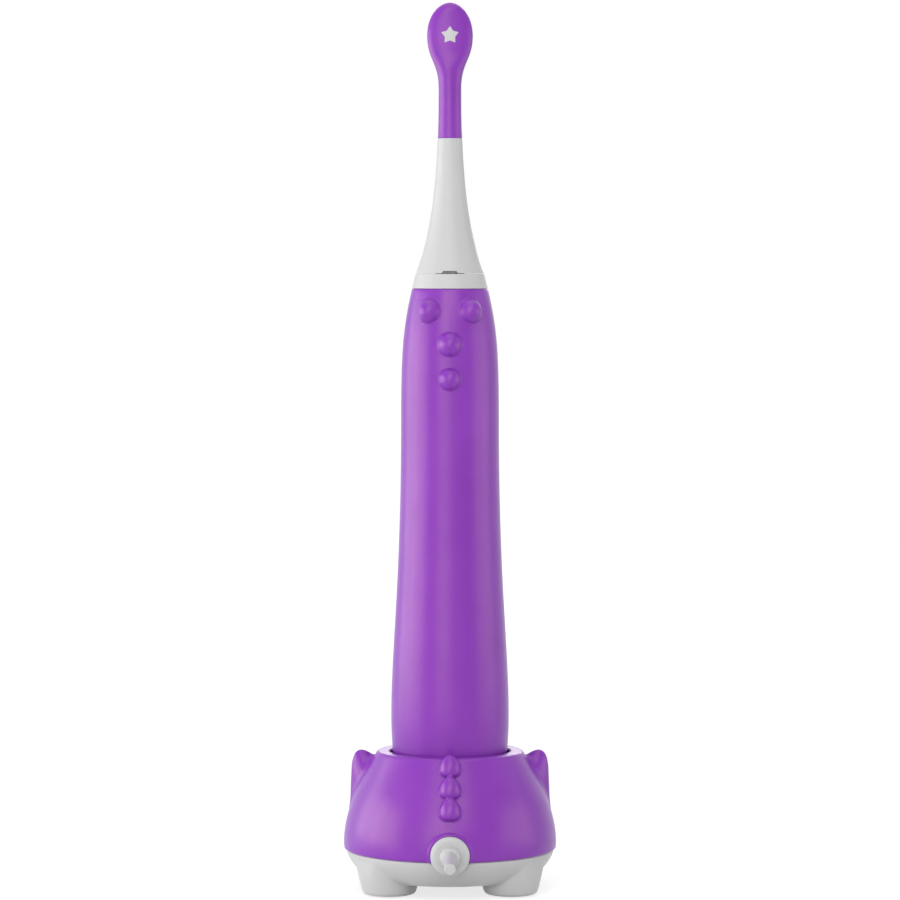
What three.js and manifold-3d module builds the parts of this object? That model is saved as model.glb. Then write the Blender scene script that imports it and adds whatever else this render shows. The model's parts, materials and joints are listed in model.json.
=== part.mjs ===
// Child's sonic toothbrush standing in its creature-shaped charger.
// Millimetres, +Z up, the back of the brush and the cable outlet face -Y.
import * as THREE from "three";
import { mergeVertices } from "three/addons/utils/BufferGeometryUtils.js";
import Module from "manifold-3d";

const wasm = await Module();
wasm.setup();

// ---------------------------------------------------------------- sizes

// Clearances
const fitGap = 0.3; // between pieces that are pushed, glued or screwed together
const mouldGap = 0.15; // between a soft skin and the hard core under it
const slideGap = 0.2; // round a piece that slides in a close hole
const runGap = 0.6; // round a piece that turns

// Smoothness
const outerSteps = 24; // sides of the large outer shells
const neckSteps = 20; // sides of the brush head's neck
const innerSteps = 12; // sides of the round inner pieces
const smallSteps = 8; // sides of pins, screws and lenses

// Charger, heights from the floor
const padProud = 0.3; // rubber pads reach this far below the feet
const footHeight = 3.1; // foot's flat bottom to the bowl's belly
const bowlHeight = 6.8; // belly to the parting line
const bowlTuck = 0.51; // the bowl's rim stands in from the shell by this
const bellyRound = 7.17; // width of the curve from the flat of the belly to the rim
const bowlWall = 2;
const partingGap = 0.35; // shadow line between bowl and top shell
const shellHeight = 25.05; // top shell, from its lower edge to the ring
const shellRadius = 27.18; // its widest, just above the lower edge
const shellEdgeRise = 1.75; // height of the widest place over the lower edge
const shellEdgeTuck = 0.12; // the lower edge is drawn in this much
const shellWall = 2.2;
const shellTaper = 27.9; // degrees that the upper cone leans in
const coneHeight = 8.6; // top ring down to the end of the straight cone
const ringWidth = 3.1; // flat ring round the pocket
const ringRound = 0.8;
const tongueHeight = 2.2; // bowl's lip inside the top shell
const tongueWall = 1.3;

// Pocket and charging post
const pocketDepth = 16; // ring down to the pocket's floor
const pocketGap = 0.8; // round the handle at the pocket's mouth
const pocketDraft = 1; // the pocket is this much narrower at its floor
const pocketWall = 1.6;
const postRadius = 5;
const postHeight = 12;
const postWall = 1.2;
const postRound = 1;

// Ears, spikes and eyes
const earTip = 1.9; // rounding of the tip
const earRoot = 6.4; // rounding of the root, half buried in the shell
const earRise = 8; // from the root's middle up to the tip's
const earDrop = 0.75; // tip below the ring
const earInset = 2.5; // outer side of the tip, in from the shell's widest place
const earRootInset = 1.7; // outer side of the root, in from the same place
const earDepth = 0.85; // depth as a share of the width
const earForward = 5.5; // middle of an ear, in front of the axis
const spikeRadius = 2.73;
const spikeLength = 3.9; // widest place to tip
const spikeTip = 0.55;
const spikeSink = 0.27; // middle of a spike under the shell's surface
const spikeDrop = 2.3; // widest place of the top spike below the ring
const spikePitch = 5.4;
const spikeCount = 3;
const eyeRadius = 2.9;
const eyeHeight = 1.5; // dome over the shell
const eyeAzimuth = 24; // degrees each side of the front
const eyeDrop = 14; // below the ring
const eyeStemRadius = 1.2;

// Feet, pads and screws
const footX = 15.4;
const footY = 10.3;
const footRadius = 6.1;
const footSpread = 2.3; // wider at its root by this
const footRoot = 1.2; // root below the parting line
const footTuck = 0.3; // feet stay this far inside the bowl's widest
const footRound = 1.2;
const padRadius = 4;
const padThickness = 1.2;
const screwRadius = 1.25;
const screwHeadRadius = 2.3;
const screwHeadHeight = 1.4;
const screwLength = 12; // shank
const bossWall = 1.5;
const driveRecess = 0.7; // depth of the cross in a screw head

// Cable gland and its boot, lengths along -Y
const glandHeight = 12.05; // over the feet's flat bottoms
const glandRadius = 4.93;
const glandProud = 1.6; // disc face beyond the shell's widest place
const glandThickness = 2.9;
const glandBevel = 0.7;
const glandNeckRadius = 3.2;
const glandWall = 3; // moulded wall that the gland's neck passes
const glandLip = 1.2; // thickness of its inner flange
const glandLipRadius = 4.3;
const glandBossWall = 1.1;
const archWidth = 0.25; // recess round the disc
const bootRootRadius = 2;
const bootCollarRadius = 2.6;
const bootCollarLength = 3;
const bootStepRadius = 2.3;
const bootStepLength = 4;
const bootNeckRadius = 1.6;
const bootEndRadius = 1.4;
const bootTaperLength = 2.5;
const bootLength = 20;

// Charger electronics
const boardRadius = 14;
const boardThickness = 1.2;
const boardLift = 7.2; // board over the belly's inner floor
const standoffRadius = 1.6;
const standoffRing = 11;
const coreRadius = 1.9;
const coreFlangeRadius = 5;
const coilWindow = 8.5; // height of the winding in the post
const coilThickness = 1.2;
const capacitorRadius = 2.6;
const capacitorHeight = 2.6;
const capacitorOffset = 9.5;
const sealWidth = 0.9;
const sealHeight = 1;

// Handle outline, heights from the handle's own bottom
const handleFootRadius = 13.2;
const handleFootRound = 2;
const bellyHeight = 24.5;
const bellyRadius = 15.04;
const bodyHeight = 133.65; // coloured body up to the collar
const waistDrop = 34.15; // narrowest place below the collar
const waistRadius = 12.49;
const collarHeight = 3.88; // collar up to the seam under the brush head
const seamRadius = 8.7;
const seamLean = 14.4; // degrees that the outline leans in at the seam
const handleWall = 1.6;
const shoulderWall = 2;
const neckRadius = 7.1; // inside the collar
const neckBore = 4;

// Handle's bottom cap
const capHeight = 6; // outside part
const capFloor = 1.8;
const capSpigot = 4.5; // part that goes up into the housing
const capSpigotWall = 1.2;
const capTubeWall = 1.2;
const postClearance = 0.7;
const sealRadius = 0.75; // ring seal's section
const sealLift = 2; // seal's middle over the parting line
const secondaryThickness = 1.9;
const secondaryLength = 7;

// Inner frame, cell and motor
const frameBore = 7.5;
const frameWall = 1.6;
const frameOpening = 28; // degrees each side of the front
const framePlate = 2;
const frameRibs = 3;
const frameRibHeight = 1.6;
const ribOverlap = 0.3; // a rib's root inside the frame's wall
const ribShare = 1.6; // a rib ends this many times further from the front than the trough's side
const cellRadius = 7;
const cellLength = 48;
const cellButton = 2.4; // radius of the positive pole
const contactRadius = 4.5;
const contactThickness = 0.4;
const contactGap = 0.3;
const motorRadius = 7.1;
const motorLength = 27;
const motorWall = 0.7;
const motorStandoff = 12; // wiring room between the cell's bulkhead and the motor's plate
const motorPlate = 3;
const bearingRadius = 3.5;
const shaftRadius = 1.75;
const shaftFlat = 0.35; // depth of the flat near the shaft's tip
const shaftFlatLength = 11.7;
const shaftReach = 19.5; // above the seam
const rotorLength = 15;
const rotorRadius = 3;
const magnetThickness = 1;
const magnetWidth = 3.6;
const statorThickness = 1.5;
const shaftSealThickness = 1.3;
const shaftSealRise = 2.2; // above the handle's neck

// Handle board, button and lamps
const logicThickness = 1;
const logicRise = 5.3; // board's upper end over the button's middle
const logicLift = 12; // board's lower end over the frame's lower end
const switchSize = 4.2;
const switchHeight = 0.9;
const plungerRadius = 0.9;
const plungerProud = 0.6;
const buttonDrop = 28.45; // its middle below the collar
const buttonRadius = 4.8;
const buttonProud = 0.5;
const buttonTravel = 0.5;
const lampPitch = 4.5;
const lampCount = 2;
const lampDrop = 13; // first lamp below the button
const lampRadius = 1;
const ledSize = 1.6;
const ledHeight = 0.6;
const chipSize = 5;
const chipHeight = 0.9;
const chipDrop = 40; // chip below the button

// Grip nubs on the back: azimuth in degrees from the back, drop below the collar, radius
const nubDome = 1.7;
const nubDepth = 0.9; // seat's depth under the surface
const nubSide = 0.45; // upright side below the dome
const nubs = [
  { azimuth: -27.5, drop: 5.55, radius: 3.2 },
  { azimuth: 27.5, drop: 5.55, radius: 3.2 },
  { azimuth: 0, drop: 13.95, radius: 3.1 },
  { azimuth: 0, drop: 22.75, radius: 2.8 },
];

// Brush head, heights from the seam
const headNeckLean = 21.3; // degrees that the neck leans in at the seam
const skirtWall = 1.3;
const skirtDepth = 6.5; // hollow skirt over the handle's neck
const stemHeight = 34.27; // seam to the soft cover's lower edge
const stemRadius = 3.1;
const stemTopHeight = 46.93; // where the head starts to widen
const stemTopRadius = 2.88;
const headWidestHeight = 60.39;
const headHalfWidth = 5.82;
const headHeight = 68.67;
const headBack = 2.7; // depth of the head behind the stem's axis
const headFront = 2.3; // and in front of it
const headFlatRun = 4; // it is fully flat this far below its widest place
const headBackSquareness = 0.85; // 1 is an ellipse, 0 a box
const headFrontSquareness = 0.55;
const headClosing = 0.62; // it thins where it is narrower than this share of its width
const coverStep = 0.2; // white stem stands this much proud of the cover's edge
const spineRadius = 2.1;
const plateRim = 1.1; // soft rim round the bristle plate
const plateLow = 50.5; // lower end of the bristle field
const plateTop = 66.4;
const plateMargin = 0.6; // hard rim round the bristle plate
const ovalMiddle = 0.56; // the plate's widest place, as a share of its height
const plateBack = 0.2; // hard core's plate starts this far in front of the axis
const bristleBase = 0.9;
const bristleLength = 9.3;
const tuftRadius = 0.72;
const tuftPitch = 2.05;
const starRadius = 2.37;
const starWaist = 1.38;
const starHeight = 60.3;
const socketWall = 1;
const socketLow = 4;
const notchHalfWidth = 2;
const notchHeight = 0.55;

// ---------------------------------------------------------------- colours

function plastic(color, roughness) {
  return new THREE.MeshStandardMaterial({ color, roughness, metalness: 0 });
}

function metal(color, roughness) {
  return new THREE.MeshStandardMaterial({ color, roughness, metalness: 1 });
}

const purpleShell = plastic(0x9650ba, 0.38);
const purpleSoft = plastic(0x9a54be, 0.5);
const whiteShell = plastic(0xd8d8d8, 0.35);
const bristleFibre = plastic(0xf2f2f2, 0.6);
const darkRubber = plastic(0x2a2a2c, 0.8);
const greyRubber = plastic(0xb9b9bb, 0.7);
const glossBlack = plastic(0x101014, 0.12);
const innerNylon = plastic(0xe4e2da, 0.55);
const lensClear = plastic(0xeef2f4, 0.15);
const boardGreen = plastic(0x1f6b3a, 0.45);
const chipBlack = plastic(0x1b1b1d, 0.4);
const ferrite = plastic(0x3a3a3d, 0.6);
const copper = metal(0xb87333, 0.35);
const steel = metal(0xb4b7ba, 0.28);
const nickel = metal(0xc9c6bd, 0.3);
const cellWrap = plastic(0x2f5aa8, 0.4);

// ---------------------------------------------------------------- solids

const up = new THREE.Vector3(0, 0, 1);

/** Makes a solid from a closed geometry, with its faces turned outwards. */
function solidOf(geometry) {
  const bare = geometry.clone();
  bare.deleteAttribute("normal");
  bare.deleteAttribute("uv");
  const merged = mergeVertices(bare, 1e-4);
  const corners = Array.from(merged.index.array);
  const build = (triVerts) =>
    new wasm.Manifold(
      new wasm.Mesh({
        numProp: 3,
        vertProperties: new Float32Array(merged.attributes.position.array),
        triVerts: new Uint32Array(triVerts),
      }),
    );
  const solid = build(corners);
  return solid.volume() < 0 ? build(corners.reverse()) : solid;
}

/** Turns a solid back into a geometry. */
function geometryOf(solid) {
  const mesh = solid.getMesh();
  const geometry = new THREE.BufferGeometry();
  geometry.setAttribute("position", new THREE.BufferAttribute(new Float32Array(mesh.vertProperties), 3));
  geometry.setIndex(new THREE.BufferAttribute(new Uint32Array(mesh.triVerts), 1));
  geometry.computeVertexNormals();
  return geometry;
}

/** Body of revolution about Z from [radius, height] points. */
function revolve(points, steps) {
  const profile = points.map((p) => (Array.isArray(p) ? new THREE.Vector2(p[0], p[1]) : p));
  const last = profile[profile.length - 1];
  if (profile[0].x > 0 || last.x > 0) {
    profile.push(profile[0].clone());
  }
  return new THREE.LatheGeometry(profile, steps).rotateX(Math.PI / 2);
}

function rod(radius, low, high, steps) {
  return revolve([[0, low], [radius, low], [radius, high], [0, high]], steps);
}

function tube(inner, outer, low, high, steps) {
  return revolve([[inner, low], [outer, low], [outer, high], [inner, high]], steps);
}

/** Rod along Y from one y to another, centred on x and z. */
function rodAlongY(radius, fromY, toY, x, z, steps) {
  return rod(radius, Math.min(fromY, toY), Math.max(fromY, toY), steps)
    .rotateX(-Math.PI / 2)
    .translate(x, 0, z);
}

/** Block given by its lowest and highest corners. */
function block(low, high) {
  const size = high.map((value, axis) => value - low[axis]);
  const middle = high.map((value, axis) => (value + low[axis]) / 2);
  return new THREE.BoxGeometry(...size).translate(...middle);
}

/** Prism of an upright shape, drawn in x and z, between two depths y. */
function prismAcross(shape, backY, frontY, curveSegments) {
  return new THREE.ExtrudeGeometry(shape, {
    depth: frontY - backY,
    bevelEnabled: false,
    curveSegments,
  })
    .rotateX(Math.PI / 2)
    .translate(0, frontY, 0);
}

/** Moves every corner of a geometry by a rule. */
function reshape(geometry, rule) {
  const position = geometry.getAttribute("position");
  const corner = new THREE.Vector3();
  for (let i = 0; i < position.count; i += 1) {
    corner.fromBufferAttribute(position, i);
    rule(corner);
    position.setXYZ(i, corner.x, corner.y, corner.z);
  }
  return geometry;
}

function piece(name, source, material) {
  const geometry = source.isBufferGeometry ? geometryOf(solidOf(source)) : geometryOf(source);
  const mesh = new THREE.Mesh(geometry, material);
  mesh.name = name;
  return mesh;
}

function join(first, ...rest) {
  return rest.reduce((sum, next) => sum.add(solidOf(next)), first);
}

function cut(first, ...rest) {
  return rest.reduce((left, next) => left.subtract(solidOf(next)), first);
}

// ---------------------------------------------------------------- outlines

function bezier(...points) {
  return new THREE.CubicBezierCurve(...points.map(([x, y]) => new THREE.Vector2(x, y)));
}

/** Radius of an outline of stacked curves at a height. */
function radiusAt(outline, height) {
  const curve = outline.find((c) => height <= c.v3.y) ?? outline[outline.length - 1];
  let low = 0;
  let high = 1;
  for (let step = 0; step < 40; step += 1) {
    const middle = (low + high) / 2;
    if (curve.getPoint(middle).y < height) {
      low = middle;
    } else {
      high = middle;
    }
  }
  return curve.getPoint(low).x;
}

/** Points of an outline between two heights, drawn in by inset. */
function follow(outline, from, to, steps, inset = 0) {
  const points = [];
  for (let i = 0; i <= steps; i += 1) {
    const height = from + ((to - from) * i) / steps;
    points.push([radiusAt(outline, height) - inset, height]);
  }
  return points;
}

/** Quarter-round points about a centre, between two angles in degrees. */
function arc(radius, centreX, centreY, fromDegrees, toDegrees, steps) {
  const points = [];
  for (let i = 0; i <= steps; i += 1) {
    const angle = THREE.MathUtils.degToRad(fromDegrees + ((toDegrees - fromDegrees) * i) / steps);
    points.push([centreX + radius * Math.cos(angle), centreY + radius * Math.sin(angle)]);
  }
  return points;
}

function leaning(radius, height, degrees, length) {
  const angle = THREE.MathUtils.degToRad(degrees);
  return [radius + length * Math.sin(angle), height - length * Math.cos(angle)];
}

// Shares of each stretch's height that its curve keeps to the end's direction.
const bellyFullness = 0.238;
const waistFullness = 0.532;
const shoulderFullness = 0.519;
const seamFullness = 0.344;

const waistHeight = bodyHeight - waistDrop;
const buttonHeight = bodyHeight - buttonDrop;
const seamHeight = bodyHeight + collarHeight;
const riseToWaist = waistHeight - bellyHeight;
const riseToSeam = seamHeight - waistHeight;
const handleOutline = [
  bezier(
    [handleFootRadius, handleFootRound],
    [(handleFootRadius + bellyRadius) / 2, (handleFootRound + bellyHeight) * 0.38],
    [bellyRadius, bellyHeight * 0.7],
    [bellyRadius, bellyHeight],
  ),
  bezier(
    [bellyRadius, bellyHeight],
    [bellyRadius, bellyHeight + bellyFullness * riseToWaist],
    [waistRadius, waistHeight - waistFullness * riseToWaist],
    [waistRadius, waistHeight],
  ),
  bezier(
    [waistRadius, waistHeight],
    [waistRadius, waistHeight + shoulderFullness * riseToSeam],
    leaning(seamRadius, seamHeight, seamLean, seamFullness * riseToSeam),
    [seamRadius, seamHeight],
  ),
];

const neckFullness = 0.426;
const stemFullness = 0.063;
const stemLean = 7;
const headOutline = [
  bezier(
    [seamRadius, 0],
    leaning(seamRadius, 0, headNeckLean, -neckFullness * stemHeight),
    leaning(stemRadius, stemHeight, stemLean, stemFullness * stemHeight),
    [stemRadius, stemHeight],
  ),
  bezier(
    [stemRadius - coverStep, stemHeight],
    [stemTopRadius, stemHeight + (stemTopHeight - stemHeight) / 3],
    [stemTopRadius, stemTopHeight - (stemTopHeight - stemHeight) / 3],
    [stemTopRadius, stemTopHeight],
  ),
  bezier(
    [stemTopRadius, stemTopHeight],
    [stemTopRadius, stemTopHeight + (headWidestHeight - stemTopHeight) * 0.5],
    [headHalfWidth, headWidestHeight - (headWidestHeight - stemTopHeight) * 0.465],
    [headHalfWidth, headWidestHeight],
  ),
  bezier(
    [headHalfWidth, headWidestHeight],
    [headHalfWidth, headWidestHeight + (headHeight - headWidestHeight) * 0.58],
    [headHalfWidth * 0.51, headHeight],
    [0, headHeight],
  ),
];

// ---------------------------------------------------------------- heights

const floor = 0;
const footBottom = floor + padProud;
const bellyBottom = footBottom + footHeight;
const partingHeight = bellyBottom + bowlHeight;
const shellBottom = partingHeight + partingGap;
const ringHeight = shellBottom + shellHeight;
const pocketFloor = ringHeight - pocketDepth;
const postTop = pocketFloor + postHeight;
const handleRest = pocketFloor + fitGap;
const bellyInside = bellyBottom + bowlWall;

const pocketRadius = radiusAt(handleOutline, ringHeight - handleRest) + pocketGap;
const ringRadius = pocketRadius + ringWidth;
const widestHeight = shellBottom + shellEdgeRise;
const coneEnd = ringHeight - coneHeight;
const coneEndRadius = ringRadius + coneHeight * Math.tan(THREE.MathUtils.degToRad(shellTaper));
const shellDrop = coneEnd - widestHeight;
const shellOutline = [
  bezier(
    [shellRadius - shellEdgeTuck, shellBottom],
    [shellRadius, shellBottom + shellEdgeRise / 2],
    [shellRadius, widestHeight - shellEdgeRise / 3],
    [shellRadius, widestHeight],
  ),
  bezier(
    [shellRadius, widestHeight],
    [shellRadius, widestHeight + shellDrop * 0.27],
    leaning(coneEndRadius, coneEnd, shellTaper, shellDrop * 0.41),
    [coneEndRadius, coneEnd],
  ),
  bezier(
    [coneEndRadius, coneEnd],
    [coneEndRadius + (ringRadius - coneEndRadius) / 3, coneEnd + coneHeight / 3],
    [ringRadius - (ringRadius - coneEndRadius) / 3, ringHeight - coneHeight / 3],
    [ringRadius, ringHeight],
  ),
];
const bowlRadius = shellRadius - bowlTuck;
const bowlOutline = [
  bezier(
    [bowlRadius - bellyRound, bellyBottom],
    [bowlRadius - bellyRound / 2, bellyBottom],
    [bowlRadius, partingHeight - bowlHeight * 0.38],
    [bowlRadius, partingHeight],
  ),
];

// ---------------------------------------------------------------- charger

const feet = [
  [-footX, -footY],
  [footX, -footY],
  [-footX, footY],
  [footX, footY],
];
const bossRadius = screwRadius + bossWall;
const padSeat = footBottom + padThickness - padProud;
const screwHeadLow = padSeat + fitGap;
const screwHeadTop = screwHeadLow + screwHeadHeight;
const screwTip = screwHeadTop + screwLength;
const bossBottom = bellyInside + fitGap;
const glandZ = footBottom + glandHeight;
const glandFace = shellRadius + glandProud;
const glandBack = glandFace - glandThickness;
const glandSeat = glandBack - fitGap;
const glandInside = glandSeat - glandWall;
const glandBossRadius = glandRadius + archWidth + glandBossWall;
const tongueRadius = shellRadius - shellEdgeTuck - shellWall - fitGap;
const sealRadiusInner = tongueRadius + fitGap;

/** Two balls of different sizes and the cone that wraps them, the first at the origin, the second above. */
function roundCone(lowRadius, highRadius, rise, steps) {
  const side = THREE.MathUtils.radToDeg(Math.asin((lowRadius - highRadius) / rise));
  return revolve(
    [...arc(lowRadius, 0, 0, -90, side, 4), ...arc(highRadius, 0, rise, side, 90, 2)],
    steps,
  );
}

function spikes() {
  return Array.from({ length: spikeCount }, (_, i) => {
    const height = ringHeight - spikeDrop - i * spikePitch;
    const back = radiusAt(shellOutline, height) - spikeSink;
    return roundCone(spikeRadius, spikeTip, spikeLength - spikeTip, 12).translate(0, -back, height);
  });
}

/** Blunt horn whose outer side stands upright beside the shell's shoulder. */
function ear(side) {
  const tipOut = shellRadius - earInset - earTip;
  const rootOut = shellRadius - earRootInset - earRoot;
  const lean = Math.atan2(tipOut - rootOut, earRise);
  const rootHeight = ringHeight - earDrop - earTip - earRise;
  const horn = roundCone(earRoot, earTip, Math.hypot(tipOut - rootOut, earRise), 14)
    .rotateY(side * lean)
    .scale(1, earDepth, 1)
    .translate(side * rootOut, earForward, rootHeight);
  const pocket = rod(pocketRadius + pocketWall / 2, floor, ringHeight + earRoot, outerSteps);
  return cut(solidOf(horn), pocket);
}

function pocketBlock() {
  return revolve(
    [
      [0, shellBottom],
      ...follow(shellOutline, shellBottom, coneEnd, 7),
      [ringRadius - ringRound * 0.4, ringHeight - ringRound * 0.9],
      [ringRadius - ringRound * 1.2, ringHeight],
      [pocketRadius + ringRound * 0.5, ringHeight],
      [pocketRadius, ringHeight - ringRound * 0.6],
      [pocketRadius - pocketDraft, pocketFloor],
      [postRadius, pocketFloor],
      [postRadius, postTop - postRound],
      ...arc(postRound, postRadius - postRound, postTop - postRound, 30, 90, 2),
      [0, postTop],
    ],
    outerSteps,
  );
}

function pocketCavity() {
  const under = pocketFloor - pocketWall;
  const top = ringHeight - shellWall;
  const seatTop = shellBottom + tongueHeight + fitGap;
  return revolve(
    [
      [0, shellBottom - 1],
      [tongueRadius + fitGap, shellBottom - 1],
      [tongueRadius + fitGap, seatTop],
      ...follow(shellOutline, seatTop + fitGap, top - shellWall, 5, shellWall),
      [pocketRadius + pocketWall, top - shellWall / 2],
      [pocketRadius + pocketWall - pocketDraft, under],
      [postRadius - postWall, under],
      [postRadius - postWall, postTop - postWall],
      [0, postTop - postWall],
    ],
    outerSteps,
  );
}

/** Wall behind the gland's disc, for both shells. */
function glandBoss() {
  return rodAlongY(glandBossRadius, -glandInside, -glandFace, 0, glandZ, innerSteps);
}

function glandCuts() {
  return [
    rodAlongY(glandRadius + archWidth, -glandSeat, -glandFace - 5, 0, glandZ, 20),
    rodAlongY(glandNeckRadius + fitGap, -glandInside + 2, -glandFace - 5, 0, glandZ, innerSteps),
  ];
}

function eyePlace(side) {
  const group = new THREE.Group();
  const height = ringHeight - eyeDrop;
  const radius = radiusAt(shellOutline, height);
  const azimuth = THREE.MathUtils.degToRad(eyeAzimuth) * side;
  const rise = Math.atan2(
    radiusAt(shellOutline, height - 1) - radiusAt(shellOutline, height + 1),
    2,
  );
  const normal = new THREE.Vector3(
    Math.sin(azimuth) * Math.cos(rise),
    Math.cos(azimuth) * Math.cos(rise),
    Math.sin(rise),
  );
  group.position.set(Math.sin(azimuth) * radius, Math.cos(azimuth) * radius, height);
  group.quaternion.setFromUnitVectors(up, normal);
  group.updateMatrix();
  return group;
}

const eyeSeat = 0.6; // eye's rim in its dish, under the shell's surface

function topShell() {
  const eared = solidOf(pocketBlock()).add(ear(-1)).add(ear(1));
  const outside = join(eared, ...spikes());
  const hollow = outside.subtract(solidOf(pocketCavity()));
  const limit = solidOf(withinWalls());
  const lowHalf = rod(shellRadius * 2, floor, shellBottom, 8);
  const walled = feet
    .map(([x, y]) => rod(bossRadius, bossBottom, ringHeight, smallSteps).translate(x, y, 0))
    .reduce((sum, boss) => sum.add(solidOf(boss).intersect(limit)), hollow)
    .add(solidOf(glandBoss()).intersect(limit).subtract(solidOf(lowHalf)));
  const pilots = feet.map(([x, y]) =>
    rod(screwRadius + slideGap, bossBottom - 1, screwTip + 1, smallSteps).translate(x, y, 0),
  );
  const dishes = [-1, 1].flatMap((side) => {
    const place = eyePlace(side);
    return [
      rod(eyeRadius + slideGap, -eyeSeat - fitGap, 5, 16).applyMatrix4(place.matrix),
      rod(eyeStemRadius + slideGap, -shellWall - 2, 1, smallSteps).applyMatrix4(place.matrix),
    ];
  });
  return piece("top_shell", cut(walled, ...glandCuts(), ...pilots, ...dishes), purpleShell);
}

/** Room for bosses: it ends halfway through the shell's and the pocket's walls. */
function withinWalls() {
  const half = shellWall / 2;
  const well = pocketRadius + pocketWall / 2;
  return revolve(
    [
      [0, bossBottom],
      [shellRadius - half, bossBottom],
      ...follow(shellOutline, shellBottom, ringHeight - shellWall, 5, half),
      [well, ringHeight - half],
      [well - pocketDraft, pocketFloor - pocketWall / 2],
      [0, pocketFloor - pocketWall / 2],
    ],
    outerSteps,
  );
}

/** Foot as a blunt cone that widens up to the belly. */
function foot(x, y) {
  const top = partingHeight - footRoot;
  return revolve(
    [
      [0, footBottom],
      ...arc(footRound, footRadius - footRound, footBottom + footRound, -90, -10, 2),
      [footRadius + footSpread * 0.52, bellyBottom],
      [footRadius + footSpread, top],
      [0, top],
    ],
    14,
  ).translate(x, y, 0);
}

function baseShell() {
  const outside = revolve(
    [
      [0, bellyBottom],
      ...follow(bowlOutline, bellyBottom + 0.01, partingHeight, 6),
      [tongueRadius, partingHeight],
      [tongueRadius, shellBottom + tongueHeight],
      [0, shellBottom + tongueHeight],
    ],
    outerSteps,
  );
  const inside = revolve(
    [
      [0, bellyInside],
      ...follow(bowlOutline, bellyBottom + 0.01, partingHeight - bowlWall, 4, bowlWall).map(
        ([r, h]) => [Math.min(r, tongueRadius - tongueWall), h + bowlWall],
      ),
      [tongueRadius - tongueWall, shellBottom + tongueHeight + 1],
      [0, shellBottom + tongueHeight + 1],
    ],
    outerSteps,
  );
  const within = solidOf(rod(bowlRadius - footTuck, floor, partingHeight, outerSteps));
  const feetSolid = feet.reduce(
    (sum, [x, y]) => sum.add(solidOf(foot(x, y)).intersect(within)),
    solidOf(outside),
  );
  const hollow = feetSolid.subtract(solidOf(inside));
  const standoffs = [90, 210, 330].map((degrees) => {
    const angle = THREE.MathUtils.degToRad(degrees);
    return rod(standoffRadius, bellyInside - 0.5, boardBottom - fitGap, smallSteps).translate(
      standoffRing * Math.cos(angle),
      standoffRing * Math.sin(angle),
      0,
    );
  });
  const glandHalf = solidOf(glandBoss())
    .intersect(solidOf(rod(tongueRadius, floor, shellBottom, outerSteps)))
    .subtract(solidOf(rod(shellRadius * 2, partingHeight, ringHeight, 8)));
  const wells = feet.flatMap(([x, y]) => [
    rod(padRadius + slideGap, floor - 1, padSeat, innerSteps).translate(x, y, 0),
    rod(screwHeadRadius + slideGap, floor - 1, screwHeadTop + slideGap, smallSteps).translate(x, y, 0),
    rod(screwRadius + slideGap, floor - 1, bossBottom + 2, smallSteps).translate(x, y, 0),
  ]);
  const groove = tube(
    sealRadiusInner,
    sealRadiusInner + sealWidth + slideGap,
    partingHeight - sealHeight,
    partingHeight + 1,
    outerSteps,
  );
  const bossRoom = feet.map(([x, y]) =>
    rod(bossRadius + fitGap, bellyInside, ringHeight, smallSteps).translate(x, y, 0),
  );
  const bossPassage = solidOf(
    rodAlongY(glandBossRadius + fitGap, -glandInside + fitGap, -glandFace, 0, glandZ, innerSteps),
  ).subtract(solidOf(rod(shellRadius * 2, floor, partingHeight, 8)));
  const opened = join(hollow, ...standoffs).subtract(bossPassage).add(glandHalf);
  return piece("base_shell", cut(opened, groove, ...glandCuts(), ...wells, ...bossRoom), whiteShell);
}

const boardBottom = bellyInside + boardLift;

function seamSeal() {
  const low = partingHeight - sealHeight + fitGap / 2;
  const inner = sealRadiusInner + slideGap / 2;
  const ring = solidOf(tube(inner, inner + sealWidth, low, partingHeight + partingGap / 3, outerSteps));
  const opening = rodAlongY(glandRadius + archWidth + fitGap, 0, -glandFace - 5, 0, glandZ, 20);
  return piece("seam_seal", cut(ring, opening), greyRubber);
}

function footPad(index) {
  const [x, y] = feet[index];
  const pad = revolve(
    [
      [0, floor],
      [padRadius - padProud, floor],
      [padRadius, floor + padProud],
      [padRadius, padSeat - fitGap],
      [0, padSeat - fitGap],
    ],
    innerSteps,
  );
  const mesh = piece(`foot_pad_${index + 1}`, pad, greyRubber);
  mesh.position.set(x, y, 0);
  return mesh;
}

function footScrew(index) {
  const [x, y] = feet[index];
  const blank = revolve(
    [
      [0, screwHeadLow],
      [screwHeadRadius - fitGap, screwHeadLow],
      [screwHeadRadius, screwHeadLow + fitGap],
      [screwHeadRadius, screwHeadTop],
      [screwRadius, screwHeadTop],
      [screwRadius, screwTip - screwRadius],
      [0, screwTip],
    ],
    smallSteps,
  );
  const arm = screwHeadRadius * 0.6;
  const slot = driveRecess / 2;
  const low = screwHeadLow - 1;
  const high = screwHeadLow + driveRecess;
  const solid = cut(
    solidOf(blank),
    block([-arm, -slot, low], [arm, slot, high]),
    block([-slot, -arm, low], [slot, arm, high]),
  );
  const mesh = piece(`foot_screw_${index + 1}`, solid, steel);
  mesh.position.set(x, y, 0);
  return mesh;
}

/** Lathe about Y: the points give radius and distance out from the object's middle. */
function outward(points, steps) {
  return revolve(points, steps).rotateX(Math.PI / 2);
}

function cableGland() {
  const bore = bootRootRadius + slideGap;
  const lipFront = glandInside - fitGap;
  const body = outward(
    [
      [bore, lipFront - glandLip],
      [glandLipRadius, lipFront - glandLip],
      [glandLipRadius, lipFront],
      [glandNeckRadius, lipFront],
      [glandNeckRadius, glandBack],
      [glandRadius, glandBack],
      [glandRadius, glandFace - glandBevel],
      [glandRadius - glandBevel, glandFace],
      [bore, glandFace],
    ],
    20,
  );
  const mesh = piece("cable_gland", body, whiteShell);
  mesh.position.z = glandZ;
  return mesh;
}

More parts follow.
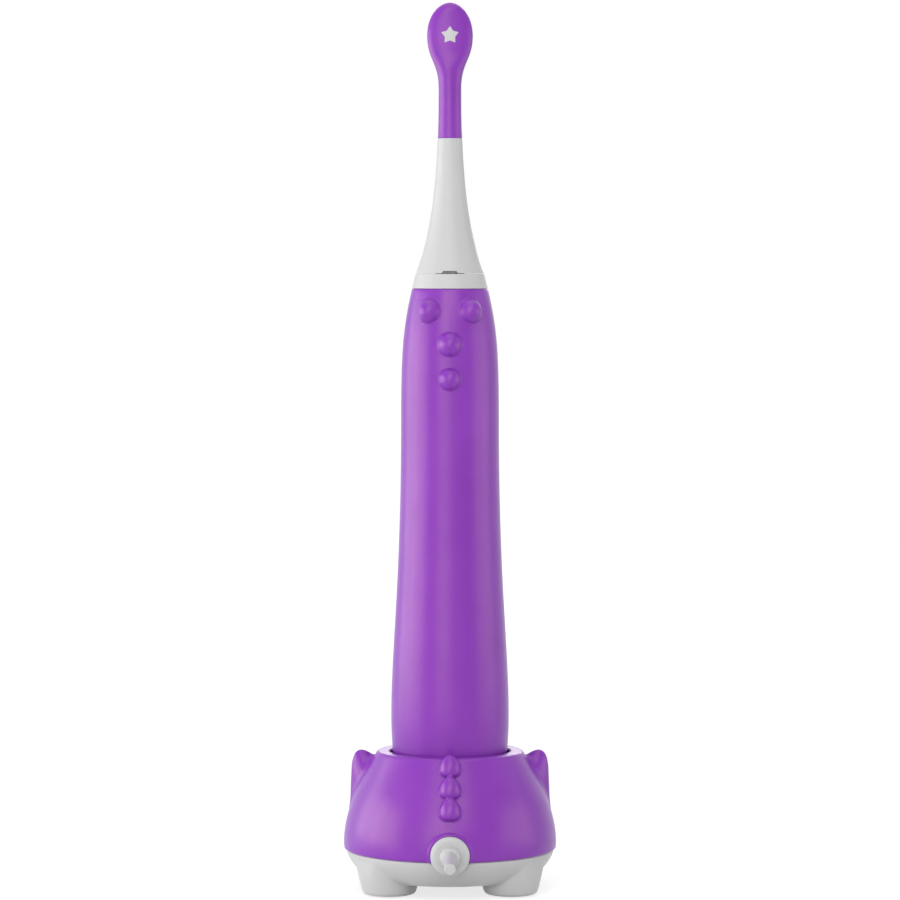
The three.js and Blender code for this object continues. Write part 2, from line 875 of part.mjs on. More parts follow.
function strainBoot() {
  const lipFront = glandInside - fitGap;
  const root = lipFront - glandLip - fitGap;
  const start = glandFace + slideGap;
  const collarEnd = start + bootCollarLength;
  const stepEnd = collarEnd + bootStepLength;
  const taperEnd = stepEnd + bootTaperLength;
  const end = start + bootLength;
  const round = bootEndRadius * 0.25;
  const body = outward(
    [
      [0, root - 0.8],
      [bootCollarRadius, root - 0.8],
      [bootCollarRadius, root],
      [bootRootRadius, root],
      [bootRootRadius, start],
      [bootCollarRadius, start],
      [bootCollarRadius, collarEnd - round],
      [bootCollarRadius - round, collarEnd],
      [bootStepRadius, collarEnd],
      [bootStepRadius, stepEnd - round],
      [bootStepRadius - round, stepEnd],
      [bootNeckRadius + round, stepEnd + round],
      [bootNeckRadius, taperEnd],
      [bootEndRadius, end - round],
      [bootEndRadius - round, end],
      [0, end],
    ],
    innerSteps,
  );
  const mesh = piece("strain_boot", body, whiteShell);
  mesh.position.z = glandZ;
  return mesh;
}

function chargerBoard() {
  const disc = rod(boardRadius, boardBottom, boardBottom + boardThickness, 20);
  const notch = block([-3, -boardRadius - 1, boardBottom - 1], [3, 3 - boardRadius, boardBottom + 3]);
  return piece("charger_board", cut(solidOf(disc), notch), boardGreen);
}

const chargerBoardTop = boardBottom + boardThickness;

function primaryCore() {
  const flangeLow = chargerBoardTop + slideGap;
  const flangeTop = pocketFloor - pocketWall - fitGap;
  const top = postTop - postWall - fitGap;
  const body = revolve(
    [
      [0, flangeLow],
      [coreFlangeRadius, flangeLow],
      [coreFlangeRadius, flangeTop],
      [coreRadius, flangeTop],
      [coreRadius, top],
      [0, top],
    ],
    innerSteps,
  );
  return piece("primary_core", body, ferrite);
}

function primaryCoil() {
  const low = pocketFloor - pocketWall;
  const inner = coreRadius + slideGap;
  const body = tube(inner, inner + coilThickness, low, low + coilWindow, innerSteps);
  return piece("primary_coil", body, copper);
}

function boardCapacitor() {
  const low = chargerBoardTop + slideGap;
  const body = revolve(
    [
      [0, low],
      [capacitorRadius, low],
      [capacitorRadius, low + capacitorHeight - 0.3],
      [capacitorRadius - 0.3, low + capacitorHeight],
      [0, low + capacitorHeight],
    ],
    smallSteps,
  );
  const mesh = piece("board_capacitor", body, steel);
  mesh.position.x = capacitorOffset;
  return mesh;
}

function boardDriver() {
  const half = chipSize / 2;
  const low = chargerBoardTop + slideGap;
  const body = block([-half, -half, low], [half, half, low + chipHeight]);
  const mesh = piece("coil_driver_chip", body, chipBlack);
  mesh.position.x = -capacitorOffset;
  return mesh;
}

function eye(side, name) {
  const place = eyePlace(side);
  const body = revolve(
    [
      [0, -shellWall + 0.2],
      [eyeStemRadius, -shellWall + 0.2],
      [eyeStemRadius, -eyeSeat],
      [eyeRadius, -eyeSeat],
      ...domePoints(eyeRadius, -eyeSeat + 0.3, eyeHeight, 3),
    ],
    16,
  );
  place.add(piece(name, body, glossBlack));
  return place;
}

/** Cap of a sphere from its rim at a height up to its crown on the axis. */
function domePoints(radius, rimHeight, crownHeight, steps) {
  const rise = crownHeight - rimHeight;
  const ball = (radius * radius + rise * rise) / (2 * rise);
  const start = THREE.MathUtils.radToDeg(Math.asin(Math.min(1, (ball - rise) / ball)));
  const points = arc(ball, 0, crownHeight - ball, start, 90, steps);
  points[points.length - 1][0] = 0;
  return points;
}

// ---------------------------------------------------------------- handle

const partingLine = capHeight + slideGap; // cap up to the housing's lower edge
const capTubeRadius = postRadius + postClearance;
const capTubeTop = postHeight + fitGap + postClearance + capTubeWall;
const spigotRadius = radiusAt(handleOutline, partingLine) - handleWall - slideGap;
const sealMiddle = partingLine + sealLift;
const sealCentre = spigotRadius + slideGap / 2 - sealRadius;
const grooveRadius = sealCentre - sealRadius - slideGap / 2;
const frameBottom = capTubeTop + fitGap;
const frameRadius = frameBore + frameWall;
const cellBottom = frameBottom + framePlate + contactThickness + 2 * contactGap;
const cellTop = cellBottom + cellLength;
const bulkhead = cellTop + contactThickness + 2 * contactGap;
const motorBottom = bulkhead + framePlate + fitGap + motorStandoff;
const motorTop = motorBottom + motorLength;
const frameTop = motorTop - 2;
const neckTop = seamHeight - 0.6;

// The housing's inner wall runs straight between these stations.
const housingInside = follow(handleOutline, partingLine, bodyHeight - shoulderWall, 5, handleWall);

function housingBore(height) {
  const above = housingInside.findIndex(([, h]) => h >= height);
  const [lowRadius, low] = housingInside[Math.max(0, above - 1)];
  const [highRadius, high] = housingInside[Math.max(1, above)];
  return THREE.MathUtils.mapLinear(height, low, high, lowRadius, highRadius);
}

function handleEnvelope(offset) {
  return solidOf(
    revolve(
      [
        [0, capHeight],
        ...follow(handleOutline, capHeight, seamHeight, 22, -offset),
        [0, seamHeight],
      ],
      outerSteps,
    ),
  );
}

function nubPlace({ azimuth, drop }) {
  const group = new THREE.Group();
  const height = bodyHeight - drop;
  const radius = radiusAt(handleOutline, height);
  const angle = THREE.MathUtils.degToRad(azimuth);
  const rise = Math.atan2(
    radiusAt(handleOutline, height - 1) - radiusAt(handleOutline, height + 1),
    2,
  );
  const normal = new THREE.Vector3(
    Math.sin(angle) * Math.cos(rise),
    -Math.cos(angle) * Math.cos(rise),
    Math.sin(rise),
  );
  group.position.set(Math.sin(angle) * radius, -Math.cos(angle) * radius, height);
  group.quaternion.setFromUnitVectors(up, normal);
  group.updateMatrix();
  return group;
}

function lampHeight(index) {
  return buttonHeight - lampDrop - index * lampPitch;
}

function handleHousing() {
  const shell = revolve(
    [
      ...follow(handleOutline, partingLine, bodyHeight, 11),
      [neckRadius, bodyHeight],
      [neckRadius, neckTop],
      [neckBore, neckTop],
      [neckBore, bodyHeight - shoulderWall],
      ...housingInside.toReversed(),
    ],
    outerSteps,
  );
  const nubSeats = nubs.map((nub) =>
    rod(nub.radius + slideGap, -nubDepth, 4, 16).applyMatrix4(nubPlace(nub).matrix),
  );
  const buttonHole = rodAlongY(buttonRadius + slideGap, 5, waistRadius + 5, 0, buttonHeight, 20);
  const lampHoles = Array.from({ length: lampCount }, (_, i) =>
    rodAlongY(lampRadius + slideGap, 5, waistRadius + 5, 0, lampHeight(i), smallSteps),
  );
  const solid = cut(solidOf(shell), ...nubSeats, buttonHole, ...lampHoles);
  return piece("handle_housing", solid, purpleShell);
}

function collarRing() {
  const low = bodyHeight + slideGap / 2;
  const high = seamHeight - slideGap;
  const body = revolve(
    [
      [neckRadius + slideGap, low],
      ...follow(handleOutline, low, high, 2),
      [neckRadius + slideGap, high],
    ],
    outerSteps,
  );
  return piece("collar_ring", body, whiteShell);
}

function gripNub(nub, index) {
  const place = nubPlace(nub);
  const bottom = fitGap - nubDepth;
  const rim = nub.radius;
  const body = revolve(
    [[0, bottom], [rim, bottom], ...domePoints(rim, bottom + nubSide, nubDome, 4)],
    16,
  );
  place.add(piece(`grip_nub_${index + 1}`, body, purpleSoft));
  return place;
}

function bottomCap() {
  const bore = grooveRadius - capSpigotWall;
  const tubeOuter = capTubeRadius + capTubeWall;
  const roofInside = capTubeTop - capTubeWall;
  const grooveHalf = sealRadius + slideGap / 2;
  return piece(
    "bottom_cap",
    revolve(
      [
        [capTubeRadius, 0],
        ...arc(handleFootRound, handleFootRadius - handleFootRound, handleFootRound, -90, -15, 2),
        ...follow(handleOutline, handleFootRound * 1.3, capHeight, 2),
        [spigotRadius, capHeight],
        [spigotRadius, sealMiddle - grooveHalf],
        [grooveRadius, sealMiddle - grooveHalf],
        [grooveRadius, sealMiddle + grooveHalf],
        [spigotRadius, sealMiddle + grooveHalf],
        [spigotRadius, capHeight + capSpigot],
        [bore, capHeight + capSpigot],
        [bore, capFloor],
        [tubeOuter, capFloor],
        [tubeOuter, capTubeTop],
        [0, capTubeTop],
        [0, roofInside],
        [capTubeRadius, roofInside],
      ],
      24,
    ),
    purpleShell,
  );
}

function capSeal() {
  const ring = revolve(arc(sealRadius, sealCentre, sealMiddle, 0, 300, 5), 24);
  return piece("cap_seal", ring, darkRubber);
}

function secondaryCoil() {
  const inner = capTubeRadius + capTubeWall + fitGap;
  const low = capFloor + fitGap;
  const body = tube(inner, inner + secondaryThickness, low, low + secondaryLength, innerSteps);
  return piece("secondary_coil", body, copper);
}

/** C-shaped cross-section that opens to the front. */
function frameSection(inner, outer, openingDegrees) {
  const open = THREE.MathUtils.degToRad(openingDegrees);
  const start = Math.PI / 2 + open;
  const end = Math.PI / 2 - open + 2 * Math.PI;
  const shape = new THREE.Shape();
  shape.absarc(0, 0, outer, start, end, false);
  shape.absarc(0, 0, inner, end, start, true);
  shape.closePath();
  return shape;
}

function extrude(shape, low, high, curveSegments) {
  return new THREE.ExtrudeGeometry(shape, {
    depth: high - low,
    bevelEnabled: false,
    curveSegments,
  }).translate(0, 0, low);
}

function innerFrame() {
  const trough = extrude(frameSection(frameBore, frameRadius, frameOpening), frameBottom, frameTop, 8);
  const plates = [
    rod(frameRadius, frameBottom, frameBottom + framePlate, 18),
    rod(frameBore + 0.4, bulkhead, bulkhead + framePlate, 18),
    rod(frameBore + 0.4, motorBottom - fitGap - framePlate, motorBottom - fitGap, 18),
  ];
  const ribs = Array.from({ length: frameRibs }, (_, i) => {
    const low = frameBottom + (i * (bulkhead - frameBottom)) / frameRibs;
    const outer = Math.min(housingBore(low), housingBore(low + frameRibHeight)) - fitGap;
    const rib = frameSection(frameRadius - ribOverlap, outer, frameOpening * ribShare);
    return extrude(rib, low, low + frameRibHeight, 7);
  });
  const shaftHole = rod(shaftRadius + runGap, motorBottom - framePlate - 2, motorBottom, smallSteps);
  const front = block(
    [-frameRadius, frameFront - 0.1, frameBottom - 1],
    [frameRadius, frameRadius + 1, frameTop + 1],
  );
  return piece("inner_frame", cut(join(solidOf(trough), ...plates, ...ribs), shaftHole, front), innerNylon);
}

const frameFront = frameRadius * Math.cos(THREE.MathUtils.degToRad(frameOpening));
const logicBack = frameFront + fitGap;
const logicFront = logicBack + logicThickness;
const logicLow = frameBottom + logicLift;
const sideShare = Math.cos(Math.PI / outerSteps); // a flat side's middle is this much nearer the axis
const logicTop = buttonHeight + logicRise;
const logicRoom = housingBore(logicTop) * sideShare - fitGap;
const logicHalf = Math.sqrt(logicRoom * logicRoom - logicFront * logicFront);

function batteryCell() {
  const body = revolve(
    [
      [0, cellBottom],
      [cellRadius - 0.6, cellBottom],
      [cellRadius, cellBottom + 0.6],
      [cellRadius, cellTop - 1.8],
      [cellRadius - 0.6, cellTop - 1.2],
      [cellButton, cellTop - 1.2],
      [cellButton, cellTop],
      [0, cellTop],
    ],
    innerSteps,
  );
  return piece("battery_cell", body, cellWrap);
}

function batteryContact(name, low) {
  const disc = rod(contactRadius, low, low + contactThickness, innerSteps);
  const tab = block([-1.2, 0, low], [1.2, frameFront - 0.5, low + contactThickness]);
  return piece(name, join(solidOf(disc), tab), nickel);
}

function motorCase() {
  const low = motorBottom;
  const high = motorTop;
  const bore = motorRadius - motorWall;
  const seat = bearingRadius + slideGap;
  const plateInLow = low + motorPlate;
  const plateInHigh = high - motorPlate;
  const body = revolve(
    [
      [seat, low],
      [motorRadius, low],
      [motorRadius, high],
      [seat, high],
      [seat, plateInHigh],
      [bore, plateInHigh],
      [bore, plateInLow],
      [seat, plateInLow],
    ],
    24,
  );
  return piece("motor_case", body, steel);
}

function bearing(name, low) {
  const body = tube(shaftRadius + slideGap, bearingRadius, low, low + motorPlate, innerSteps);
  return piece(name, body, nickel);
}

const rotorMiddle = (motorBottom + motorTop) / 2;
const rotorReach = Math.hypot(rotorRadius + magnetThickness + 0.2, magnetWidth / 2);

function statorCoil() {
  const outer = motorRadius - motorWall - fitGap;
  const inner = Math.max(rotorReach + runGap, outer - statorThickness);
  const half = rotorLength / 2 + 1;
  const body = tube(inner, outer, rotorMiddle - half, rotorMiddle + half, 24);
  return piece("stator_coil", body, copper);
}

function driveShaft() {
  const low = motorBottom + slideGap;
  const tip = seamHeight + shaftReach;
  const half = rotorLength / 2;
  const body = revolve(
    [
      [0, low],
      [shaftRadius, low],
      [shaftRadius, rotorMiddle - half],
      [rotorRadius, rotorMiddle - half],
      [rotorRadius, rotorMiddle + half],
      [shaftRadius, rotorMiddle + half],
      [shaftRadius, tip - 0.5],
      [shaftRadius - 0.5, tip],
      [0, tip],
    ],
    innerSteps,
  );
  const flatY = shaftRadius - shaftFlat;
  const flat = block(
    [-shaftRadius, flatY, tip - shaftFlatLength],
    [shaftRadius, shaftRadius + 1, tip + 1],
  );
  return piece("drive_shaft", cut(solidOf(body), flat), steel);
}

function rotorMagnet(name, side) {
  const inner = rotorRadius + 0.2;
  const half = rotorLength / 2;
  const body = block(
    [side > 0 ? inner : -inner - magnetThickness, -magnetWidth / 2, rotorMiddle - half],
    [side > 0 ? inner + magnetThickness : -inner, magnetWidth / 2, rotorMiddle + half],
  );
  return piece(name, body, ferrite);
}

function shaftSeal() {
  const inner = shaftRadius + slideGap;
  const low = neckTop - shoulderWall;
  const outer = neckBore - slideGap;
  const body = revolve(
    [
      [inner, low],
      [outer, low],
      [outer, neckTop + 0.2],
      [inner + shaftSealThickness, neckTop + shaftSealRise],
      [inner, neckTop + shaftSealRise],
    ],
    innerSteps,
  );
  return piece("shaft_seal", body, darkRubber);
}

function logicBoard() {
  const body = block(
    [-logicHalf, logicBack, logicLow],
    [logicHalf, logicFront, logicTop],
  );
  return piece("logic_board", body, boardGreen);
}

const mountGap = 0.1; // solder under the parts on the board
const switchBack = logicFront + mountGap;
const switchTop = switchBack + switchHeight;

function tactSwitch() {
  const half = switchSize / 2;
  const body = block([-half, switchBack, buttonHeight - half], [half, switchTop, buttonHeight + half]);
  const hole = rodAlongY(plungerRadius + slideGap, logicFront, switchTop + 1, 0, buttonHeight, smallSteps);
  return piece("tact_switch", cut(solidOf(body), hole), chipBlack);
}

function switchPlunger() {
  const end = switchTop + plungerProud;
  const start = switchBack + buttonTravel + 0.05;
  const pin = rodAlongY(plungerRadius, start, end, 0, buttonHeight, smallSteps);
  return piece("switch_plunger", pin, whiteShell);
}

function powerButton() {
  const back = switchTop + plungerProud + mountGap;
  const plug = rodAlongY(buttonRadius, back, waistRadius + 3, 0, buttonHeight, 20);
  const face = handleEnvelope(buttonProud);
  const ring = tubeAlongY(buttonRadius * 0.52, buttonRadius * 0.64, waistRadius + 0.15, waistRadius + 3);
  return piece("power_button", cut(solidOf(plug).intersect(face), ring), whiteShell);
}

function tubeAlongY(inner, outer, fromY, toY) {
  return tube(inner, outer, fromY, toY, 16).rotateX(-Math.PI / 2).translate(0, 0, buttonHeight);
}

function lampLens(index) {
  const start = logicFront + ledHeight + mountGap + fitGap;
  const pin = rodAlongY(lampRadius, start, waistRadius + 3, 0, lampHeight(index), smallSteps);
  return piece(`lamp_lens_${index + 1}`, solidOf(pin).intersect(handleEnvelope(0)), lensClear);
}

function lampLed(index) {
  const half = ledSize / 2;
  const low = logicFront + mountGap;
  const height = lampHeight(index);
  const body = block([-half, low, height - half], [half, low + ledHeight, height + half]);
  return piece(`lamp_led_${index + 1}`, body, innerNylon);
}

function logicChip() {
  const half = chipSize / 2;
  const low = logicFront + mountGap;
  const middle = buttonHeight - chipDrop;
  const body = block([-half, low, middle - half], [half, low + chipHeight, middle + half]);
  return piece("logic_chip", body, chipBlack);
}

// ---------------------------------------------------------------- brush head

const coreBore = shaftRadius + slideGap + socketWall + mouldGap;

/** Gives a round head blank the flatter depth of the real head. */
function flattenHead(corner) {
  const share = THREE.MathUtils.smoothstep(corner.z, stemTopHeight, headWidestHeight - headFlatRun);
  const half = Math.max(radiusAt(headOutline, Math.min(corner.z, headHeight)), 1e-6);
  const cosine = Math.min(1, Math.abs(corner.y) / half);
  const depth = corner.y < 0 ? headBack : headFront;
  const closing = Math.min(1, half / (headHalfWidth * headClosing));
  const squareness = corner.y < 0 ? headBackSquareness : headFrontSquareness;
  const power = THREE.MathUtils.lerp(1, squareness, share);
  const full = THREE.MathUtils.lerp(half, depth * Math.sqrt(closing), share);
  corner.y = Math.sign(corner.y) * full * Math.pow(cosine, power);
}

/** The head's outer form, from a height on the stem up. */
function headBlank(low) {
  const blank = revolve(
    [
      [0, low],
      ...follow(headOutline, low, stemTopHeight, 2),
      ...follow(headOutline, stemTopHeight + 2, headHeight - 1.5, 8),
      ...follow(headOutline, headHeight - 0.9, headHeight - 0.25, 2),
      [0, headHeight],
    ],
    neckSteps,
  );
  return solidOf(reshape(blank, flattenHead));
}

function starShape() {
  const star = new THREE.Shape();
  for (let i = 0; i < 10; i += 1) {
    const angle = Math.PI / 2 + (i * Math.PI) / 5;
    const radius = i % 2 === 0 ? starRadius : starWaist;
    const x = radius * Math.cos(angle);
    const y = radius * Math.sin(angle);
    if (i === 0) {
      star.moveTo(x, y);
    } else {
      star.lineTo(x, y);
    }
  }
  star.closePath();
  return star;
}

/** Star prism from the hard core out through the back of the soft cover. */
function starPrism(grow) {
  const scale = 1 + grow / starWaist;
  return prismAcross(starShape(), -headBack - 2, 0, 1)
    .scale(scale, 1, scale)
    .translate(0, 0, starHeight);
}

/** Oval plate of the hard core behind the bristles, thicker at its spine. */
function corePlate(grow) {
  const halfWidth = headHalfWidth - plateRim + grow;
  const low = plateLow - plateMargin - grow;
  const high = plateTop + plateMargin + grow;
  return prismAcross(ovalShape(halfWidth, low, high), plateBack - grow, headFront + 2, 7);
}

/** Upright oval with a narrower lower end, as the head's front is. */
function ovalShape(halfWidth, low, high) {
  const middle = low + (high - low) * ovalMiddle;
  const shape = new THREE.Shape();
  const lowSide = middle - (middle - low) * 0.55;
  const highSide = middle + (high - middle) * 0.56;
  shape.moveTo(0, low);
  shape.bezierCurveTo(halfWidth * 0.75, low, halfWidth, lowSide, halfWidth, middle);
  shape.bezierCurveTo(halfWidth, highSide, halfWidth * 0.56, high, 0, high);
  shape.bezierCurveTo(-halfWidth * 0.56, high, -halfWidth, highSide, -halfWidth, middle);
  shape.bezierCurveTo(-halfWidth, lowSide, -halfWidth * 0.75, low, 0, low);
  return shape;
}

function spine(grow) {
  const top = starHeight + starRadius + 1;
  return revolve(
    [
      [0, stemHeight - 1],
      [spineRadius + grow, stemHeight - 1],
      [spineRadius + grow, stemTopHeight],
      [spineRadius * 0.75 + grow, top - 1 + grow],
      [0, top + grow],
    ],
    innerSteps,
  );
}

function headCore() {
  const hollow = skirtDepth;
  const outside = revolve(
    [
      [0, slideGap / 2],
      ...follow(headOutline, slideGap / 2, stemHeight - 0.01, 7),
      [0, stemHeight],
    ],
    neckSteps,
  );
  const inside = revolve(
    [
      [0, -1],
      [seamRadius - skirtWall, -1],
      [seamRadius - skirtWall, slideGap],
      [radiusAt(headOutline, hollow) - skirtWall - 0.6, hollow - 1],
      [coreBore, hollow],
      [coreBore, shaftReach + 1.2],
      [0, shaftReach + 1.2],
    ],
    neckSteps,
  );
  const inHead = headBlank(stemHeight + mouldGap);
  const front = solidOf(corePlate(0)).intersect(inHead);
  const star = solidOf(starPrism(0)).intersect(inHead);
  const notch = block(
    [-notchHalfWidth, -seamRadius - 1, -1],
    [notchHalfWidth, -seamRadius + skirtWall * 2.2, notchHeight + slideGap],
  );
  const recess = bristleRecess();
  const solid = solidOf(outside).subtract(solidOf(inside)).add(solidOf(spine(0))).add(front).add(star);
  return piece("head_core", cut(solid, notch, recess), whiteShell);
}

function headCover() {
  const blank = headBlank(stemHeight + slideGap / 2);
  const solid = cut(blank, spine(mouldGap), corePlate(mouldGap), starPrism(mouldGap));
  return piece("head_cover", solid, purpleSoft);
}

function bristleField(grow) {
  const halfWidth = headHalfWidth - plateRim - 0.9 + grow;
  return ovalShape(halfWidth, plateLow - grow, plateTop + grow);
}

/** Seat of the bristle plate in the core's front. */
function bristleRecess() {
  const back = headFront - bristleBase - mouldGap;
  return prismAcross(bristleField(mouldGap), back, headFront + 2, 7);
}

function bristlePlate() {
  const base = prismAcross(bristleField(0), headFront - bristleBase, headFront, 7);
  const tufts = tuftPlaces().map(([x, z, length]) => tuft(x, z, length));
  return piece("bristle_plate", join(solidOf(base), ...tufts), bristleFibre);
}

/** Tuft middles in staggered rows within the field, with a longer tip and heel. */
function tuftPlaces() {
  const places = [];
  const middle = plateLow + (plateTop - plateLow) * ovalMiddle;
  const halfWidth = headHalfWidth - plateRim - 0.9 - tuftRadius - 0.15;
  const rows = Math.floor((plateTop - plateLow - 2 * tuftRadius - 0.6) / tuftPitch);
  for (let row = 0; row <= rows; row += 1) {
    const z = plateLow + tuftRadius + 0.5 + row * tuftPitch;
    const reach = z > middle ? (z - middle) / (plateTop - middle) : (middle - z) / (middle - plateLow);
    const half = halfWidth * Math.sqrt(Math.max(0, 1 - reach * reach));
    const columns = Math.floor((2 * half) / tuftPitch) + 1;
    for (let column = 0; column < columns; column += 1) {
      const x = (column - (columns - 1) / 2) * tuftPitch;
      places.push([x, z, bristleLength + 0.9 * reach * reach]);
    }
  }
  return places;
}

function tuft(x, z, length) {
  const crown = tuftRadius * 0.35;
  return revolve(
    [
      [0, -0.3],
      [tuftRadius, -0.3],
      [tuftRadius, length - crown],
      [tuftRadius * 0.55, length],
      [0, length],
    ],
    6,
  )
    .rotateX(-Math.PI / 2)
    .translate(x, headFront, z);
}

function shaftSocket() {
  const bore = shaftRadius + slideGap;
  const top = shaftReach + 0.9;
  const body = revolve(
    [
      [bore, socketLow],
      [bore + socketWall, socketLow],
      [bore + socketWall, top],
      [0, top],
      [0, shaftReach + 0.3],
      [bore, shaftReach + 0.3],
    ],
    innerSteps,
  );
  return piece("shaft_socket", body, innerNylon);
}

// ---------------------------------------------------------------- assembly

const charger = new THREE.Group();
charger.add(topShell(), baseShell(), seamSeal());
charger.add(cableGland(), strainBoot());
charger.add(chargerBoard(), primaryCore(), primaryCoil(), boardCapacitor(), boardDriver());
charger.add(eye(-1, "eye_left"), eye(1, "eye_right"));
feet.forEach((_, i) => charger.add(footPad(i), footScrew(i)));

const handle = new THREE.Group();
handle.position.z = handleRest;
handle.add(handleHousing(), collarRing(), bottomCap(), capSeal(), secondaryCoil());
handle.add(innerFrame(), batteryCell());
handle.add(batteryContact("cell_contact_low", cellBottom - contactThickness - contactGap));
handle.add(batteryContact("cell_contact_top", cellTop + contactGap));
handle.add(motorCase(), bearing("bearing_low", motorBottom), bearing("bearing_top", motorTop - motorPlate));
handle.add(statorCoil(), driveShaft(), rotorMagnet("rotor_magnet_1", 1), rotorMagnet("rotor_magnet_2", -1));
handle.add(shaftSeal(), logicBoard(), tactSwitch(), switchPlunger(), powerButton(), logicChip());
for (let i = 0; i < lampCount; i += 1) {
  handle.add(lampLens(i), lampLed(i));
}
nubs.forEach((nub, i) => handle.add(gripNub(nub, i)));

const brushHead = new THREE.Group();
brushHead.position.z = seamHeight;
brushHead.add(headCore(), headCover(), bristlePlate(), shaftSocket());
handle.add(brushHead);

// The frame's origin lies under the middle of the whole object's box.
const boxMiddle = (shellRadius - (glandFace + slideGap + bootLength)) / 2;
const group = new THREE.Group();
group.position.y = -boxMiddle;
group.add(charger, handle);

export default group;
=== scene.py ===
"""Child's toothbrush in its creature-shaped charger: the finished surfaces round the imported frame."""

import json
import math

import bpy
import numpy as np
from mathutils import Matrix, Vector


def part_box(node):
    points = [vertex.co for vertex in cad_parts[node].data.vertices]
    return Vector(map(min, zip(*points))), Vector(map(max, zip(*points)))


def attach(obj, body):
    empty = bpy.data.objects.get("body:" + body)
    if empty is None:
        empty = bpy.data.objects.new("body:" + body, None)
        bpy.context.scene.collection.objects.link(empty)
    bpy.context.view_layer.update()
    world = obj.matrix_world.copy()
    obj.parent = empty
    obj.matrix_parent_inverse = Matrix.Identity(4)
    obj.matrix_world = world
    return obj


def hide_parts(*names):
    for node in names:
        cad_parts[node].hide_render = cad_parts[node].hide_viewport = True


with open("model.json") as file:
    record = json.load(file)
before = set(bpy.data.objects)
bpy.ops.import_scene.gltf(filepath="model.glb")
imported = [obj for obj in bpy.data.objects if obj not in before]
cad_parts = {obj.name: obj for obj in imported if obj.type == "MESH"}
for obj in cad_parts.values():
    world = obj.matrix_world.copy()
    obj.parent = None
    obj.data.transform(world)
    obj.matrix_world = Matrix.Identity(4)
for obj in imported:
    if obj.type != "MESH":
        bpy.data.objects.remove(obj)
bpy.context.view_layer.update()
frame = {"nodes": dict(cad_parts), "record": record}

# Shapes are worked out in millimetres about the handle's axis, and MM turns them into metres.
MM = 0.001


def box_of(node):
    """Lowest and highest corner of a CAD node, in millimetres."""
    return [np.array(corner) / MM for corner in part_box(node)]


def middle_of(node):
    low, high = box_of(node)
    return (low + high) / 2


# ---- places from the frame

AXIS_Y = middle_of("bottom_cap")[1]
HANDLE_LOW = box_of("bottom_cap")[0][2]
SEAM = (box_of("collar_ring")[1][2] + box_of("head_core")[0][2]) / 2
FLOOR = box_of("foot_pad_1")[0][2]
GLAND_Z = middle_of("cable_gland")[2]
GLAND_FACE = AXIS_Y - box_of("cable_gland")[0][1]
BOOT_END = AXIS_Y - box_of("strain_boot")[0][1]


def add_object(name, data):
    """New object in the scene."""
    made = bpy.data.objects.new(name, data)
    bpy.context.scene.collection.objects.link(made)
    return made


# ---- camera

CAMERA_DISTANCE = 988.4
CAMERA_HEIGHT = 158.8
CAMERA_PITCH = 2.686
CAMERA_LENS = 155.2

camera_data = bpy.data.cameras.new("camera")
camera_data.lens, camera_data.sensor_width = CAMERA_LENS, 36
camera_data.clip_start, camera_data.clip_end = 0.05, 20
camera = add_object("camera", camera_data)
camera.location = Vector((0, AXIS_Y - CAMERA_DISTANCE, CAMERA_HEIGHT)) * MM
camera.rotation_euler = (math.radians(90 - CAMERA_PITCH), 0, 0)
bpy.context.scene.camera = camera

# ---- outlines


def bezier(start, first, second, end, steps=48):
    """Points of a cubic curve, as rows of (radius, height)."""
    t = np.linspace(0, 1, steps + 1)[:, None]
    start, first, second, end = (np.array(p, float) for p in (start, first, second, end))
    return (1 - t) ** 3 * start + 3 * (1 - t) ** 2 * t * first + 3 * (1 - t) * t**2 * second + t**3 * end


def chain(*points):
    """Cubic curves laid end to end: a start, then two inner points and an end for each curve."""
    return np.concatenate([bezier(*points[i : i + 4]) for i in range(0, len(points) - 1, 3)])


def leaning(radius, height, degrees, length):
    """A point at a distance down along a line that leans outwards."""
    angle = math.radians(degrees)
    return (radius + length * math.sin(angle), height - length * math.cos(angle))


def arc(radius, centre, first, last, steps=8):
    """Points of a circle's arc between two angles in degrees."""
    angles = np.radians(np.linspace(first, last, steps + 1))
    return np.stack([centre[0] + radius * np.cos(angles), centre[1] + radius * np.sin(angles)], 1)


def softened(corners, steps=4):
    """Polygon from (radius, height, rounding) corners, each rounded by an arc of that size."""
    corners = np.array(corners, float)
    places, points = corners[:, :2], []
    around = np.roll(places, 1, 0), np.roll(places, -1, 0)
    for here, before, after, rounding in zip(places, *around, corners[:, 2]):
        back, ahead = before - here, after - here
        back_length, ahead_length = np.linalg.norm(back), np.linalg.norm(ahead)
        if rounding <= 0 or min(back_length, ahead_length) < 1e-6:
            points.append(here)
            continue
        back, ahead = back / back_length, ahead / ahead_length
        half = math.acos(float(np.clip(back @ ahead, -1, 1))) / 2
        reach = min(rounding / math.tan(half), 0.49 * back_length, 0.49 * ahead_length)
        t = np.linspace(0, 1, steps + 1)[:, None]
        first, last = here + back * reach, here + ahead * reach
        points.extend((1 - t) ** 2 * first + 2 * (1 - t) * t * here + t**2 * last)
    return np.array(points)


class Outline:
    """Radius of a turned form at any height."""

    def __init__(self, *curves):
        points = np.concatenate(curves)
        self.radii, self.heights = points[:, 0], points[:, 1]

    def at(self, height):
        return np.interp(height, self.heights, self.radii)

    def slope(self, height):
        """Angle in radians that the form leans in at a height."""
        return np.arctan(self.at(height - 0.5) - self.at(height + 0.5))

    def rows(self, low, high, steps, inset=0.0):
        heights = np.linspace(low, high, steps + 1)
        return np.stack([self.at(heights) - inset, heights], 1)


